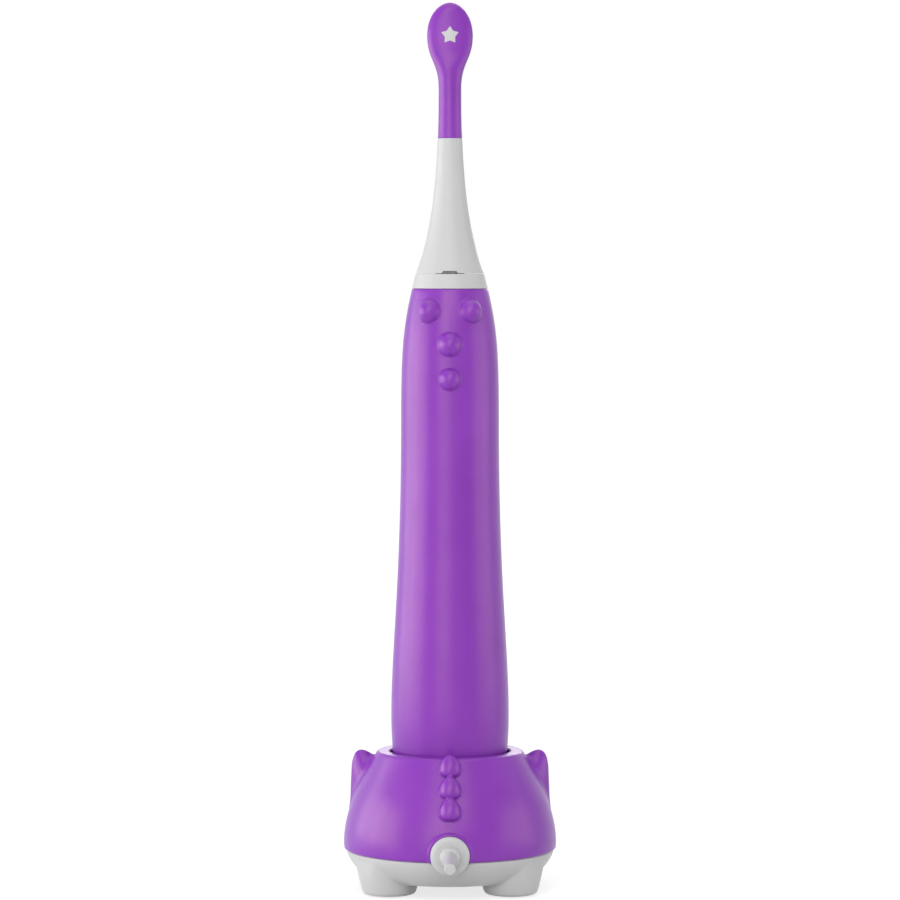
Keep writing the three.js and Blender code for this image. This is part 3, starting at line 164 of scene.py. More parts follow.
# Handle, heights from its own bottom
FOOT_RADIUS, FOOT_ROUND = 13.2, 2.0
BELLY_HEIGHT, BELLY_RADIUS = 24.5, 15.04
WAIST_HEIGHT, WAIST_RADIUS = 99.5, 12.49
BODY_HEIGHT = 133.65
SEAM_RADIUS, SEAM_LEAN = 8.7, 14.4
SEAM_HEIGHT = SEAM - HANDLE_LOW
CAP_HEIGHT = 6.1
RISE_TO_WAIST = WAIST_HEIGHT - BELLY_HEIGHT
RISE_TO_SEAM = SEAM_HEIGHT - WAIST_HEIGHT
handle_outline = Outline(
    arc(FOOT_ROUND, (FOOT_RADIUS - FOOT_ROUND, FOOT_ROUND), -89, -2),
    chain(
        (FOOT_RADIUS, FOOT_ROUND),
        ((FOOT_RADIUS + BELLY_RADIUS) / 2, (FOOT_ROUND + BELLY_HEIGHT) * 0.38),
        (BELLY_RADIUS, BELLY_HEIGHT * 0.7),
        (BELLY_RADIUS, BELLY_HEIGHT),
        (BELLY_RADIUS, BELLY_HEIGHT + 0.238 * RISE_TO_WAIST),
        (WAIST_RADIUS, WAIST_HEIGHT - 0.532 * RISE_TO_WAIST),
        (WAIST_RADIUS, WAIST_HEIGHT),
        (WAIST_RADIUS, WAIST_HEIGHT + 0.519 * RISE_TO_SEAM),
        leaning(SEAM_RADIUS, SEAM_HEIGHT, SEAM_LEAN, 0.344 * RISE_TO_SEAM),
        (SEAM_RADIUS, SEAM_HEIGHT),
    ),
)

# Brush head, heights from the seam
NECK_LEAN = 21.3
STEM_HEIGHT, STEM_RADIUS, STEM_LEAN = 34.27, 3.1, 7
STEM_TOP, STEM_TOP_RADIUS = 46.93, 2.88
WIDEST_HEIGHT, HEAD_HALF_WIDTH = 60.39, 5.82
HEAD_HEIGHT = 68.67
neck_outline = Outline(
    bezier(
        (SEAM_RADIUS, 0),
        leaning(SEAM_RADIUS, 0, NECK_LEAN, -0.426 * STEM_HEIGHT),
        leaning(STEM_RADIUS, STEM_HEIGHT, STEM_LEAN, 0.063 * STEM_HEIGHT),
        (STEM_RADIUS, STEM_HEIGHT),
    ),
)
HEAD_RISE = WIDEST_HEIGHT - STEM_TOP
head_outline = Outline(
    chain(
        (STEM_RADIUS, STEM_HEIGHT),
        (STEM_TOP_RADIUS, STEM_HEIGHT + (STEM_TOP - STEM_HEIGHT) / 3),
        (STEM_TOP_RADIUS, STEM_TOP - (STEM_TOP - STEM_HEIGHT) / 3),
        (STEM_TOP_RADIUS, STEM_TOP),
        (STEM_TOP_RADIUS, STEM_TOP + HEAD_RISE * 0.5),
        (HEAD_HALF_WIDTH, WIDEST_HEIGHT - HEAD_RISE * 0.465),
        (HEAD_HALF_WIDTH, WIDEST_HEIGHT),
    ),
    bezier(
        (HEAD_HALF_WIDTH, WIDEST_HEIGHT),
        (HEAD_HALF_WIDTH, WIDEST_HEIGHT + (HEAD_HEIGHT - WIDEST_HEIGHT) * 0.58),
        (HEAD_HALF_WIDTH * 0.51, HEAD_HEIGHT),
        (0, HEAD_HEIGHT),
        96,
    ),
)

# Charger, heights from the floor
FOOT_BOTTOM = FLOOR + 0.3
BELLY_BOTTOM = FOOT_BOTTOM + 3.1
PARTING = BELLY_BOTTOM + 6.8
SHELL_BOTTOM = PARTING + 0.35
RING = SHELL_BOTTOM + 25.05
POCKET_FLOOR = RING - 16
POST_TOP = POCKET_FLOOR + 12
SHELL_RADIUS = 27.16
EDGE_RISE, EDGE_TUCK = 1.75, 0.12
SHELL_TAPER = 27.9
CONE_HEIGHT = 8.6
POCKET_RADIUS = float(handle_outline.at(RING - HANDLE_LOW)) + 0.8
RING_RADIUS = POCKET_RADIUS + 3.1
WIDEST = SHELL_BOTTOM + EDGE_RISE
CONE_END = RING - CONE_HEIGHT
CONE_RADIUS = RING_RADIUS + CONE_HEIGHT * math.tan(math.radians(SHELL_TAPER))
SHELL_DROP = CONE_END - WIDEST
shell_outline = Outline(
    chain(
        (SHELL_RADIUS - EDGE_TUCK, SHELL_BOTTOM),
        (SHELL_RADIUS, SHELL_BOTTOM + EDGE_RISE / 2),
        (SHELL_RADIUS, WIDEST - EDGE_RISE / 3),
        (SHELL_RADIUS, WIDEST),
        (SHELL_RADIUS, WIDEST + SHELL_DROP * 0.27),
        leaning(CONE_RADIUS, CONE_END, SHELL_TAPER, SHELL_DROP * 0.41),
        (CONE_RADIUS, CONE_END),
    ),
    [(RING_RADIUS, RING)],
)
BOWL_RADIUS, BELLY_FLAT = 26.5, 19.5
bowl_outline = Outline(
    bezier(
        (BELLY_FLAT, BELLY_BOTTOM),
        (BELLY_FLAT + (BOWL_RADIUS - BELLY_FLAT) / 2, BELLY_BOTTOM),
        (BOWL_RADIUS, PARTING - (PARTING - BELLY_BOTTOM) * 0.25),
        (BOWL_RADIUS, PARTING),
    ),
)

# ---- meshes


def mesh_object(name, points, *faces, sharp_degrees=None):
    """Object from points in millimetres about the handle's axis and arrays of faces."""
    points = np.asarray(points, float) + (0, AXIS_Y, 0)
    faces = [np.asarray(part, np.int32) for part in faces if len(part)]
    corners = np.concatenate([part.ravel() for part in faces])
    sizes = np.concatenate([np.full(len(part), part.shape[1], np.int32) for part in faces])
    mesh = bpy.data.meshes.new(name)
    mesh.vertices.add(len(points))
    mesh.vertices.foreach_set("co", (points * MM).astype(np.float32).ravel())
    mesh.loops.add(len(corners))
    mesh.loops.foreach_set("vertex_index", corners)
    mesh.polygons.add(len(sizes))
    mesh.polygons.foreach_set("loop_start", np.concatenate([[0], np.cumsum(sizes)[:-1]]).astype(np.int32))
    mesh.update(calc_edges=True)
    mesh.polygons.foreach_set("use_smooth", np.ones(len(sizes), bool))
    if sharp_degrees:
        mesh.set_sharp_from_angle(angle=math.radians(sharp_degrees))
    return add_object(name, mesh)


def full_turn(steps):
    """Angles in radians round a circle."""
    return np.linspace(0, 2 * np.pi, steps, endpoint=False)


def about_axis(radius, azimuth, height):
    """Points about the handle's axis; azimuth in radians from the back."""
    parts = np.broadcast_arrays(radius * np.sin(azimuth), -radius * np.cos(azimuth), height)
    return np.stack(parts, -1)


def loft(rows, closed=True):
    """Quads between rows of points; each row holds the same count and closes on itself."""
    count = len(rows[0])
    points = np.concatenate(rows)
    near = np.arange(count)
    far = (near + 1) % count
    quads = []
    for i in range(len(rows) if closed else len(rows) - 1):
        low, high = i * count, ((i + 1) % len(rows)) * count
        quads.append(np.stack([low + near, low + far, high + far, high + near], 1))
    return points, np.concatenate(quads)


def without_slivers(points, quads):
    """Joins points that fall together, as on an axis, and splits the faces into quads and triangles."""
    _, first, inverse = np.unique(np.round(points, 5), axis=0, return_index=True, return_inverse=True)
    quads = inverse.reshape(-1)[quads]
    double = np.array([quads[:, k] == quads[:, (k + 1) % 4] for k in range(4)])
    whole, once = quads[double.sum(0) == 0], double.sum(0) == 1
    triangles = [np.delete(quads[double[k] & once], k, axis=1) for k in range(4)]
    return points[first], whole, np.concatenate(triangles)


def lofted(name, rows, sharp_degrees, closed=True, flipped=False):
    """Object lofted through rows of points, where points that fall together are joined."""
    points, quads = loft(rows, closed)
    if flipped:
        quads = quads[:, ::-1]
    return mesh_object(name, *without_slivers(points, quads), sharp_degrees=sharp_degrees)


def turned(name, profile, steps=144, sharp_degrees=30, low=0.0):
    """Turned piece about the handle's axis, from points of (radius, height)."""
    angles = full_turn(steps)
    across, along = np.cos(angles), np.sin(angles)
    rows = [np.stack([r * across, r * along, np.full(steps, low + h)], 1) for r, h in profile]
    return lofted(name, rows, sharp_degrees)


def turned_along_y(name, corners):
    """Turned piece about the cable outlet's line, from (radius, distance to the back, rounding)."""
    angles = full_turn(72)
    across, up = np.cos(angles), np.sin(angles)
    rows = [np.stack([r * across, 0 * up - d, GLAND_Z + r * up], 1) for r, d in softened(corners)]
    return lofted(name, rows, 30)


# ---- blended forms


class Section:
    """Signed distance to a turned solid's section, kept on a fine grid and read between its places."""

    SPACING = 0.1

    def __init__(self, outline, margin=3.0):
        outline = np.asarray(outline, float)
        self.low = np.array([0.0, outline[:, 1].min() - margin])
        high = np.array([outline[:, 0].max() + margin, outline[:, 1].max() + margin])
        counts = np.ceil((high - self.low) / self.SPACING).astype(int) + 1
        radii = self.low[0] + self.SPACING * np.arange(counts[0])
        heights = self.low[1] + self.SPACING * np.arange(counts[1])
        x, y = np.meshgrid(radii, heights, indexing="ij")
        nearest = np.full(x.shape, 1e9)
        inside = np.zeros(x.shape, bool)
        for (ax, ay), (bx, by) in zip(outline, np.roll(outline, -1, axis=0)):
            ex, ey = bx - ax, by - ay
            length = ex * ex + ey * ey
            if length < 1e-12:
                continue
            t = np.clip(((x - ax) * ex + (y - ay) * ey) / length, 0, 1)
            nearest = np.minimum(nearest, (x - ax - t * ex) ** 2 + (y - ay - t * ey) ** 2)
            if ay != by:
                crosses = (ay > y) != (by > y)
                inside ^= crosses & (x < ax + (y - ay) * ex / ey)
        self.table = np.where(inside, -1, 1) * np.sqrt(nearest)
        self.counts = counts

    def __call__(self, radius, height):
        u = np.clip((radius - self.low[0]) / self.SPACING, 0, self.counts[0] - 1.001)
        v = np.clip((height - self.low[1]) / self.SPACING, 0, self.counts[1] - 1.001)
        i, j = u.astype(int), v.astype(int)
        u, v = u - i, v - j
        t = self.table
        return (
            t[i, j] * (1 - u) * (1 - v)
            + t[i + 1, j] * u * (1 - v)
            + t[i, j + 1] * (1 - u) * v
            + t[i + 1, j + 1] * u * v
        )


def joined(a, b, blend):
    """Union of two distances, with a fillet."""
    share = np.clip(0.5 + 0.5 * (b - a) / blend, 0, 1)
    return b * (1 - share) + a * share - blend * share * (1 - share)


def both(a, b, blend):
    """Intersection of two distances, with a rounded edge."""
    return -joined(-a, -b, blend)


CORNERS = np.array([[i, j, k] for i in (0, 1) for j in (0, 1) for k in (0, 1)])
CELL_EDGES = [(a, b) for a in range(8) for b in range(a + 1, 8) if abs(CORNERS[a] - CORNERS[b]).sum() == 1]


def surface_net(field, low, high, step):
    """Quads round the space where field is below zero: one point in every cell that its surface crosses."""
    low = np.asarray(low, float)
    counts = np.ceil((np.asarray(high) - low) / step).astype(int) + 1
    axes = [low[k] + step * np.arange(counts[k]) for k in range(3)]
    values = np.empty(counts)
    x, y = np.meshgrid(axes[0], axes[1], indexing="ij")
    for k, z in enumerate(axes[2]):
        values[:, :, k] = field(x, y, np.full_like(x, z))
    inside = values < 0
    filled = sum(
        inside[tuple(slice(c, c + n - 1) for c, n in zip(corner, counts))].astype(np.int8)
        for corner in CORNERS
    )
    crossed = np.argwhere((filled > 0) & (filled < 8))
    number = np.full(counts - 1, -1)
    number[tuple(crossed.T)] = np.arange(len(crossed))
    total, hits = np.zeros((len(crossed), 3)), np.zeros(len(crossed))
    for a, b in CELL_EDGES:
        first = values[tuple((crossed + CORNERS[a]).T)]
        second = values[tuple((crossed + CORNERS[b]).T)]
        cut = (first < 0) != (second < 0)
        share = np.where(cut, first / np.where(cut, first - second, 1), 0)[:, None]
        total += cut[:, None] * (CORNERS[a] + share * (CORNERS[b] - CORNERS[a]))
        hits += cut
    points = low + step * (crossed + total / hits[:, None])
    quads = []
    for axis in range(3):
        side, other = (np.eye(3, dtype=int)[(axis + k) % 3] for k in (1, 2))
        leaves = np.delete(inside, -1, axis)
        nodes = np.argwhere(leaves != np.delete(inside, 0, axis))
        ring = [nodes - side - other, nodes - other, nodes, nodes - side]
        made = np.stack([number[tuple(corner.T)] for corner in ring], 1)
        outwards = leaves[tuple(nodes.T)]
        quads.append(np.where(outwards[:, None], made, made[:, ::-1]))
    return settle(field, points, np.concatenate(quads), step)


def settle(field, points, quads, step, rounds=3):
    """Evens out the points along the surface and moves them exactly onto it."""
    ends = np.concatenate([quads[:, [k, (k + 1) % 4]] for k in range(4)])
    for turn in range(rounds):
        sums = [np.bincount(ends[:, 0], column[ends[:, 1]], len(points)) for column in points.T]
        degree = np.bincount(ends[:, 0], minlength=len(points))[:, None]
        if turn < rounds - 1:
            points = points + 0.5 * (np.stack(sums, 1) / degree - points)
        for _ in range(2):
            points = points - onto_surface(field, points, step)
    return points, quads


def onto_surface(field, points, step):
    """Step from each point to the surface, from the field's value and gradient."""
    probe = step * 0.1
    value = field(*points.T)
    gradient = np.stack(
        [(field(*(points + d).T) - field(*(points - d).T)) / (2 * probe) for d in np.eye(3) * probe], 1
    )
    size = np.maximum((gradient**2).sum(1), 0.05)[:, None]
    move = value[:, None] * gradient / size
    return np.clip(move, -0.5 * step, 0.5 * step)


def blended(name, field, reach, low, high):
    """Mesh of the solid of a field, inside a square column between two heights."""
    return mesh_object(name, *surface_net(field, (-reach, -reach, low), (reach, reach, high), GRID))


# ---- materials


def set_values(node, **values):
    """Constant values on a node's own sockets."""
    for socket, value in values.items():
        node.inputs[socket.replace("_", " ")].default_value = value
    return node


def shader_node(tree, kind, **values):
    return set_values(tree.nodes.new("ShaderNode" + kind), **values)


class Material:
    """A procedural finish, built up on one Principled shader."""

    # Noise stays near its middle, so this part of its range is spread over the whole effect.
    NOISE_LOW, NOISE_HIGH = 0.3, 0.7

    def __init__(self, name, colour, roughness, **sockets):
        self.material = bpy.data.materials.new(name)
        self.material.use_nodes = True
        self.tree = self.material.node_tree
        self.shader = self.tree.nodes["Principled BSDF"]
        set_values(self.shader, Base_Color=(*linear(colour), 1), Roughness=roughness, **sockets)
        self.link = self.tree.links.new
        self.place = self.add("TexCoord").outputs["Object"]

    def add(self, kind, **inputs):
        return shader_node(self.tree, kind, **inputs)

    def noise(self, size_mm, detail=2.0, stretch=(1, 1, 1)):
        """Noise whose features are about size_mm across."""
        mapping = self.add("Mapping", Scale=stretch)
        noise = self.add("TexNoise", Scale=1 / (size_mm * MM), Detail=detail)
        self.link(self.place, mapping.inputs["Vector"])
        self.link(mapping.outputs["Vector"], noise.inputs["Vector"])
        return noise.outputs["Fac"]

    def vary_colour(self, source, first, second):
        """Base colour that goes from one colour to another with the source."""
        ramp = self.add("ValToRGB")
        places = zip(ramp.color_ramp.elements, (self.NOISE_LOW, self.NOISE_HIGH), (first, second))
        for element, position, colour in places:
            element.position = position
            element.color = (*linear(colour), 1)
        self.link(source, ramp.inputs["Fac"])
        self.link(ramp.outputs["Color"], self.shader.inputs["Base Color"])

    def vary_roughness(self, source, low, high):
        ends = {"From_Min": self.NOISE_LOW, "From_Max": self.NOISE_HIGH, "To_Min": low, "To_Max": high}
        span = self.add("MapRange", **ends)
        self.link(source, span.inputs["Value"])
        self.link(span.outputs["Result"], self.shader.inputs["Roughness"])

    def bump(self, source, height_mm, strength):
        node = self.add("Bump", Strength=strength, Distance=height_mm * MM)
        self.link(source, node.inputs["Height"])
        self.link(node.outputs["Normal"], self.shader.inputs["Normal"])


def linear(colour):
    """Linear values of an sRGB colour given in 0 to 255."""
    values = [c / 255 for c in colour]
    return [c / 12.92 if c <= 0.04045 else ((c + 0.055) / 1.055) ** 2.4 for c in values]


def moulded(name, colour, roughness, grain=0.6, relief=0.0015, shift=3, **sockets):
    """Moulded plastic: faint cloudy tone, uneven gloss and the mould's fine texture."""
    made = Material(name, colour, roughness, **sockets)
    darker = [max(0, c - shift) for c in colour]
    lighter = [min(255, c + shift) for c in colour]
    made.vary_colour(made.noise(14, detail=3), darker, lighter)
    made.vary_roughness(made.noise(2.5), roughness - 0.025, roughness + 0.03)
    made.bump(made.noise(grain, detail=1), relief, 0.35)
    return made.material


PURPLE = (120, 47, 162)
PURPLE_GLOSS = {"Specular_IOR_Level": 0.4, "Specular_Tint": (1.0, 0.76, 0.25, 1.0)}


def white_plastic():
    return moulded("white_plastic", (180, 180, 180), 0.34, shift=1, Specular_IOR_Level=0.2)


def bristle_nylon():
    made = Material("bristle_nylon", (238, 238, 240), 0.45, Subsurface_Weight=0.15, Subsurface_Scale=0.0008)
    made.vary_colour(made.noise(0.35, stretch=(1, 0.08, 1)), (226, 226, 230), (246, 246, 246))
    made.vary_roughness(made.noise(0.2, stretch=(1, 0.05, 1)), 0.38, 0.52)
    return made.material


def glossy_black():
    made = Material("glossy_black", (14, 14, 18), 0.12, Coat_Weight=0.4, Coat_Roughness=0.05)
    made.vary_roughness(made.noise(3), 0.09, 0.16)
    return made.material


def lamp_lens():
    made = Material("lamp_lens", (226, 232, 236), 0.2, Subsurface_Weight=0.3, Subsurface_Scale=0.001)
    made.vary_roughness(made.noise(0.6), 0.15, 0.28)
    return made.material


def circuit_board():
    made = Material("circuit_board", (34, 104, 60), 0.45)
    made.vary_colour(made.noise(1.6, detail=4), (24, 84, 48), (44, 122, 70))
    made.bump(made.noise(0.5), 0.02, 0.4)
    return made.material


def metal(name, colour, roughness, stretch):
    made = Material(name, colour, roughness, Metallic=1.0)
    brushed = made.noise(0.4, detail=3, stretch=stretch)
    made.vary_roughness(brushed, roughness - 0.06, roughness + 0.1)
    made.bump(brushed, 0.003, 0.5)
    return made.material


def cell_wrap():
    made = Material("cell_wrap", (52, 92, 168), 0.35)
    made.vary_colour(made.noise(6, stretch=(1, 1, 0.3)), (44, 82, 156), (60, 104, 182))
    return made.material


FINISHES = {
    "purple_shell": moulded("purple_plastic", PURPLE, 0.32, **PURPLE_GLOSS),
    "purple_soft": moulded("purple_rubber", PURPLE, 0.34, grain=0.5, relief=0.0018, **PURPLE_GLOSS),
    "white_shell": white_plastic(),
    "white_soft": white_plastic(),
    "bristle": bristle_nylon(),
    "grey_rubber": moulded("grey_rubber", (178, 178, 180), 0.75, grain=0.3, relief=0.01),
    "dark_rubber": moulded("dark_rubber", (44, 44, 47), 0.7, grain=0.3, relief=0.01),
    "eye_gloss": glossy_black(),
    "inner_nylon": moulded("inner_nylon", (226, 224, 216), 0.55),
    "lens": lamp_lens(),
    "board_green": circuit_board(),
    "chip_black": moulded("chip_black", (30, 30, 32), 0.5),
    "ferrite": moulded("ferrite", (62, 62, 66), 0.6, grain=0.4, relief=0.01),
    "copper_wire": metal("copper_wire", (184, 115, 51), 0.35, (1, 1, 9)),
    "steel": metal("steel", (188, 190, 193), 0.28, (1, 1, 0.1)),
    "nickel": metal("nickel", (204, 200, 190), 0.3, (1, 1, 1)),
    "cell_wrap": cell_wrap(),
}


def finish_nodes():
    """Gives every CAD node the finish of its material slot."""
    for part in frame["record"]["subparts"]:
        mesh = frame["nodes"][part["node"]].data
        mesh.materials.clear()
        mesh.materials.append(FINISHES[part["material_slot"]])


def dress(piece, body, slot, *nodes):
    """Gives a piece its finish and body, and hides the CAD nodes that it stands for."""
    piece.data.materials.append(FINISHES[slot])
    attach(piece, body)
    if nodes:
        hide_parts(*nodes)


# ---- charger

EAR_OUT, EAR_FORWARD, EAR_UPRIGHT, EAR_SLANT = 25.62, 5.5, 24.0, 0.04
SPIKE_RADIUS, SPIKE_RISE, SPIKE_ROUND, SPIKE_SINK = 2.74, 4.35, 1.65, 0.3
SPIKE_DROP, SPIKE_PITCH, SPIKE_COUNT = 3.0, 5.1, 3
EAR_SPREAD, EAR_TIP_OUT, EAR_TIP, EAR_BLUNT = 0.72, 23.0, 35.9, 4.4
GLAND_RADIUS, GLAND_SEAT = 4.93, 0.1
SHELL_WALL, TONGUE_WALL, TONGUE_RISE = 2.2, 1.3, 2.2
GRID = 0.36
FOOT_X, FOOT_Y, FOOT_RIM, FOOT_FLARE = 15.4, 10.3, 6.5, 2.3
PAD_RADIUS, PAD_HEIGHT, PAD_WELL, PAD_DEPTH = 4.0, 1.15, 4.2, 0.9
EYE_AZIMUTH, EYE_DROP, EYE_RADIUS = 24, 14, 2.9
EYE_CROWN, EYE_SINK, EYE_BACK = 2.0, 0.55, 0.68


def shell_section():
    """Outer form, pocket, post and hollow inside of the top shell."""
    wall, lid, post = SHELL_WALL, SHELL_WALL / 2, 5.0
    outer = shell_outline.rows(SHELL_BOTTOM + 0.25, RING - 1.2, 60)
    mouth = [
        (*outer[-1], 0.0), (RING_RADIUS, RING, 1.7), (POCKET_RADIUS, RING, 0.55),
        (POCKET_RADIUS - 1, POCKET_FLOOR, 1.2), (post, POCKET_FLOOR, 0.8), (post, POST_TOP, 1.0),
        (0.0, POST_TOP, 0), (0.0, POST_TOP - lid, 0), (post - 1.2, POST_TOP - lid, 0),
        (post - 1.2, POCKET_FLOOR - wall, 0), (POCKET_RADIUS + 0.6, POCKET_FLOOR - wall, 0),
        (POCKET_RADIUS + 1.6, RING - wall - 1, 0), (RING_RADIUS - 1, RING - wall - 1.2, 0),
    ]
    inner = shell_outline.rows(RING - 6, SHELL_BOTTOM + 3, 20, wall)
    edge = [(SHELL_RADIUS - wall - 0.1, SHELL_BOTTOM), (SHELL_RADIUS - EDGE_TUCK - 0.25, SHELL_BOTTOM)]
    return Section(np.concatenate([outer, softened(mouth)[1:], inner, edge]))


def spike_section():
    """Upright thorn, blunt at the tip and round underneath, about its own axis."""
    t = np.linspace(0, 1, 25)
    flank = np.stack([SPIKE_RADIUS * (1 - t**2) ** 0.7, SPIKE_RISE * t], 1)
    angles = np.linspace(-np.pi / 2, 0, 17)[:-1]
    under = np.stack([SPIKE_RADIUS * np.cos(angles), SPIKE_ROUND * np.sin(angles)], 1)
    return Section(np.concatenate([under, flank]), margin=2)


def ear_field(x, y, z):
    """Blunt horn: upright outer ridge, sloping inner side, soft edges at front and back."""
    out = np.abs(x) + EAR_SLANT * np.maximum(z - EAR_UPRIGHT, 0)
    depth = np.sqrt((y - EAR_FORWARD) ** 2 + 0.8) - 0.9
    outer = (out - EAR_OUT) * math.cos(EAR_SPREAD) + depth * math.sin(EAR_SPREAD)
    inner = (EAR_TIP_OUT - out) * 0.42 + depth * 0.72 + (z - EAR_TIP) * 0.55
    return both(outer, inner, EAR_BLUNT)


def eye_places():
    """Centre and outward direction of each eye on the shell's front."""
    height = RING - EYE_DROP
    radius, lean = shell_outline.at(height), shell_outline.slope(height)
    for side in (-1, 1):
        azimuth = math.radians(EYE_AZIMUTH) * side
        level = np.array([math.sin(azimuth), math.cos(azimuth), 0])
        up = np.array([0, 0, 1])
        yield level * radius + up * height, level * math.cos(lean) + up * math.sin(lean)


def gland_hole(x, y, z):
    """Seat of the cable outlet, shared by the two shells."""
    around = np.hypot(x, z - GLAND_Z)
    return np.maximum(around - GLAND_RADIUS + GLAND_SEAT, y + SHELL_RADIUS - 3)


def top_shell():
    section, spike = shell_section(), spike_section()
    boss_face = SHELL_RADIUS + 0.22

    def field(x, y, z):
        radius = np.hypot(x, y)
        outside = radius - shell_outline.at(z) + 0.4
        solid = joined(section(radius, z), both(ear_field(x, y, z), -outside, 0.2), 1.6)
        for i in range(SPIKE_COUNT):
            height = RING - SPIKE_DROP - i * SPIKE_PITCH
            back = float(shell_outline.at(height)) - SPIKE_SINK
            thorn = both(spike(np.hypot(x, y + back), z - height), -outside, 0.2)
            solid = joined(solid, thorn, 0.12)
        around = np.hypot(x, z - GLAND_Z)
        boss = both(around - GLAND_RADIUS - 0.62, np.maximum(-y - boss_face, y + SHELL_RADIUS - 2), 0.3)
        solid = joined(solid, np.maximum(boss, SHELL_BOTTOM - z), 0.45)
        solid = both(solid, -gland_hole(x, y, z), 0.12)
        for centre, normal in eye_places():
            px, py, pz = x - centre[0], y - centre[1], z - centre[2]
            along = px * normal[0] + py * normal[1] + pz * normal[2]
            off = np.sqrt(np.maximum(px**2 + py**2 + pz**2 - along**2, 0))
            dish = np.maximum(off - EYE_RADIUS - 0.15, -along - 0.7)
            solid = both(solid, -dish, 0.2)
        return solid

    made = blended("charger_top_shell", field, SHELL_RADIUS + 1.2, SHELL_BOTTOM - 1, RING + 2.6)
    dress(made, "charger", "purple_shell", "top_shell")


def base_shell():
    """Bowl with four stub feet, and a tongue that stands inside the top shell's edge."""
    tongue = SHELL_RADIUS - EDGE_TUCK - SHELL_WALL - 0.3
    inside, belly = tongue - TONGUE_WALL, tongue - 6
    rim, top, floor_top = SHELL_BOTTOM - 0.06, SHELL_BOTTOM + TONGUE_RISE, BELLY_BOTTOM + 2
    outline = [
        [(0.0, BELLY_BOTTOM)],
        bowl_outline.rows(BELLY_BOTTOM + 0.02, PARTING, 40),
        arc(0.2, (BOWL_RADIUS - 0.2, rim - 0.2), 0, 90, 5),
        [(tongue, rim), (tongue, top), (inside, top)],
        [(inside, BELLY_BOTTOM + 6), (belly, floor_top), (0.0, floor_top)],
    ]
    section = Section(np.concatenate(outline))
    foot_top = PARTING - 0.2

    def field(x, y, z):
        radius = np.hypot(x, y)
        solid = section(radius, z)
        off = np.hypot(np.abs(x) - FOOT_X, np.abs(y) - FOOT_Y)
        share = np.clip((z - FOOT_BOTTOM) / (foot_top - FOOT_BOTTOM), 0, 1)
        side = off - (FOOT_RIM + FOOT_FLARE * share**0.75)
        foot = both(side, FOOT_BOTTOM - z, 1.0)
        foot = both(foot, z - foot_top, 0.3)
        foot = both(foot, radius - (BOWL_RADIUS - 0.25), 0.4)
        bottom = floor_top + np.maximum(radius - belly, 0) * 0.85
        hollow = np.maximum(radius - inside, bottom - z)
        solid = both(joined(solid, foot, 0.35), -hollow, 0.1)
        solid = both(solid, -gland_hole(x, y, z), 0.15)
        well = np.maximum(off - PAD_WELL, z - FOOT_BOTTOM - PAD_DEPTH)
        return both(solid, -well, 0.1)

    made = blended("charger_base", field, SHELL_RADIUS + 0.6, FOOT_BOTTOM - 0.7, SHELL_BOTTOM + 2.9)
    dress(made, "charger", "white_shell", "base_shell")


def foot_pads():
    profile = softened([(0, 0, 0), (PAD_RADIUS, 0, 0.3), (PAD_RADIUS, PAD_HEIGHT, 0.1), (0, PAD_HEIGHT, 0)])
    for index, (x, y) in enumerate([(-1, -1), (1, -1), (-1, 1), (1, 1)], start=1):
        pad = turned(f"rubber_foot_{index}", profile, steps=64, low=FLOOR)
        pad.location = Vector((x * FOOT_X, y * FOOT_Y, 0)) * MM
        dress(pad, "charger", "grey_rubber", f"foot_pad_{index}")


def cable_outlet():
    """Flat disc in the gland's seat, and the stepped boot that the cord would leave."""
    face, back = GLAND_FACE, GLAND_FACE - 2.9
    disc = [
        (2.0, back, 0), (GLAND_RADIUS, back, 0), (GLAND_RADIUS, face - 0.7, 0.5),
        (4.05, face - 0.12, 0.25), (3.95, face - 0.16, 0.1), (3.8, face, 0.1), (2.0, face, 0),
    ]
    boot = [
        (0, face - 3, 0), (1.9, face - 3, 0), (1.9, face - 0.1, 0), (2.6, face - 0.1, 0),
        (2.5, face + 2.4, 0.5), (1.85, face + 2.7, 0.3), (1.7, face + 5.0, 0.8),
        (1.42, BOOT_END, 0.35), (0, BOOT_END, 0),
    ]
    dress(turned_along_y("outlet_disc", disc), "charger", "white_shell", "cable_gland")
    dress(turned_along_y("outlet_boot", boot), "charger", "white_soft", "strain_boot")


def eyes():
    """Glossy domes that sit in the shell's two shallow dishes."""
    angles = full_turn(48)
    turns = np.linspace(0, np.pi / 2, 15)
    dome = [(EYE_RADIUS * math.sin(t), EYE_CROWN * math.cos(t) - EYE_SINK) for t in turns]
    profile = [(0, -EYE_BACK), *dome, (EYE_RADIUS, -EYE_BACK)]
    for name, (centre, normal) in zip(("left", "right"), eye_places()):
        side = np.cross((0, 0, 1), normal)
        side /= np.linalg.norm(side)
        rise = np.cross(normal, side)
        circle = np.cos(angles)[:, None] * side + np.sin(angles)[:, None] * rise
        rows = [centre + r * circle + h * normal for r, h in profile]
        eye = lofted(f"glossy_eye_{name}", rows, 50)
        dress(eye, "charger", "eye_gloss", f"eye_{name}")


# ---- handle

BUTTON_HEIGHT = middle_of("power_button")[2] - HANDLE_LOW
BUTTON_RADIUS = (box_of("power_button")[1][0] - box_of("power_button")[0][0]) / 2
BUTTON_GAP, BUTTON_POCKET = 0.25, 1.45
# Button's face from its middle round to its underside: share of its radius, height over the skin
BUTTON_FACE = [
    (0, 0.34), (0.2, 0.35), (0.42, 0.4), (0.5, 0.45), (0.535, 0.42), (0.55, 0.3), (0.6, 0.27),
    (0.65, 0.3), (0.665, 0.42), (0.7, 0.47), (0.85, 0.45), (0.95, 0.34), (0.99, 0.18), (0.99, 0.0),
    (0.88, -0.7), (0, -0.7),
]
LAMP_RADIUS, LAMP_GAP, LAMP_POCKET = 1.0, 0.12, 0.8
NUB_FILLET = 0.35
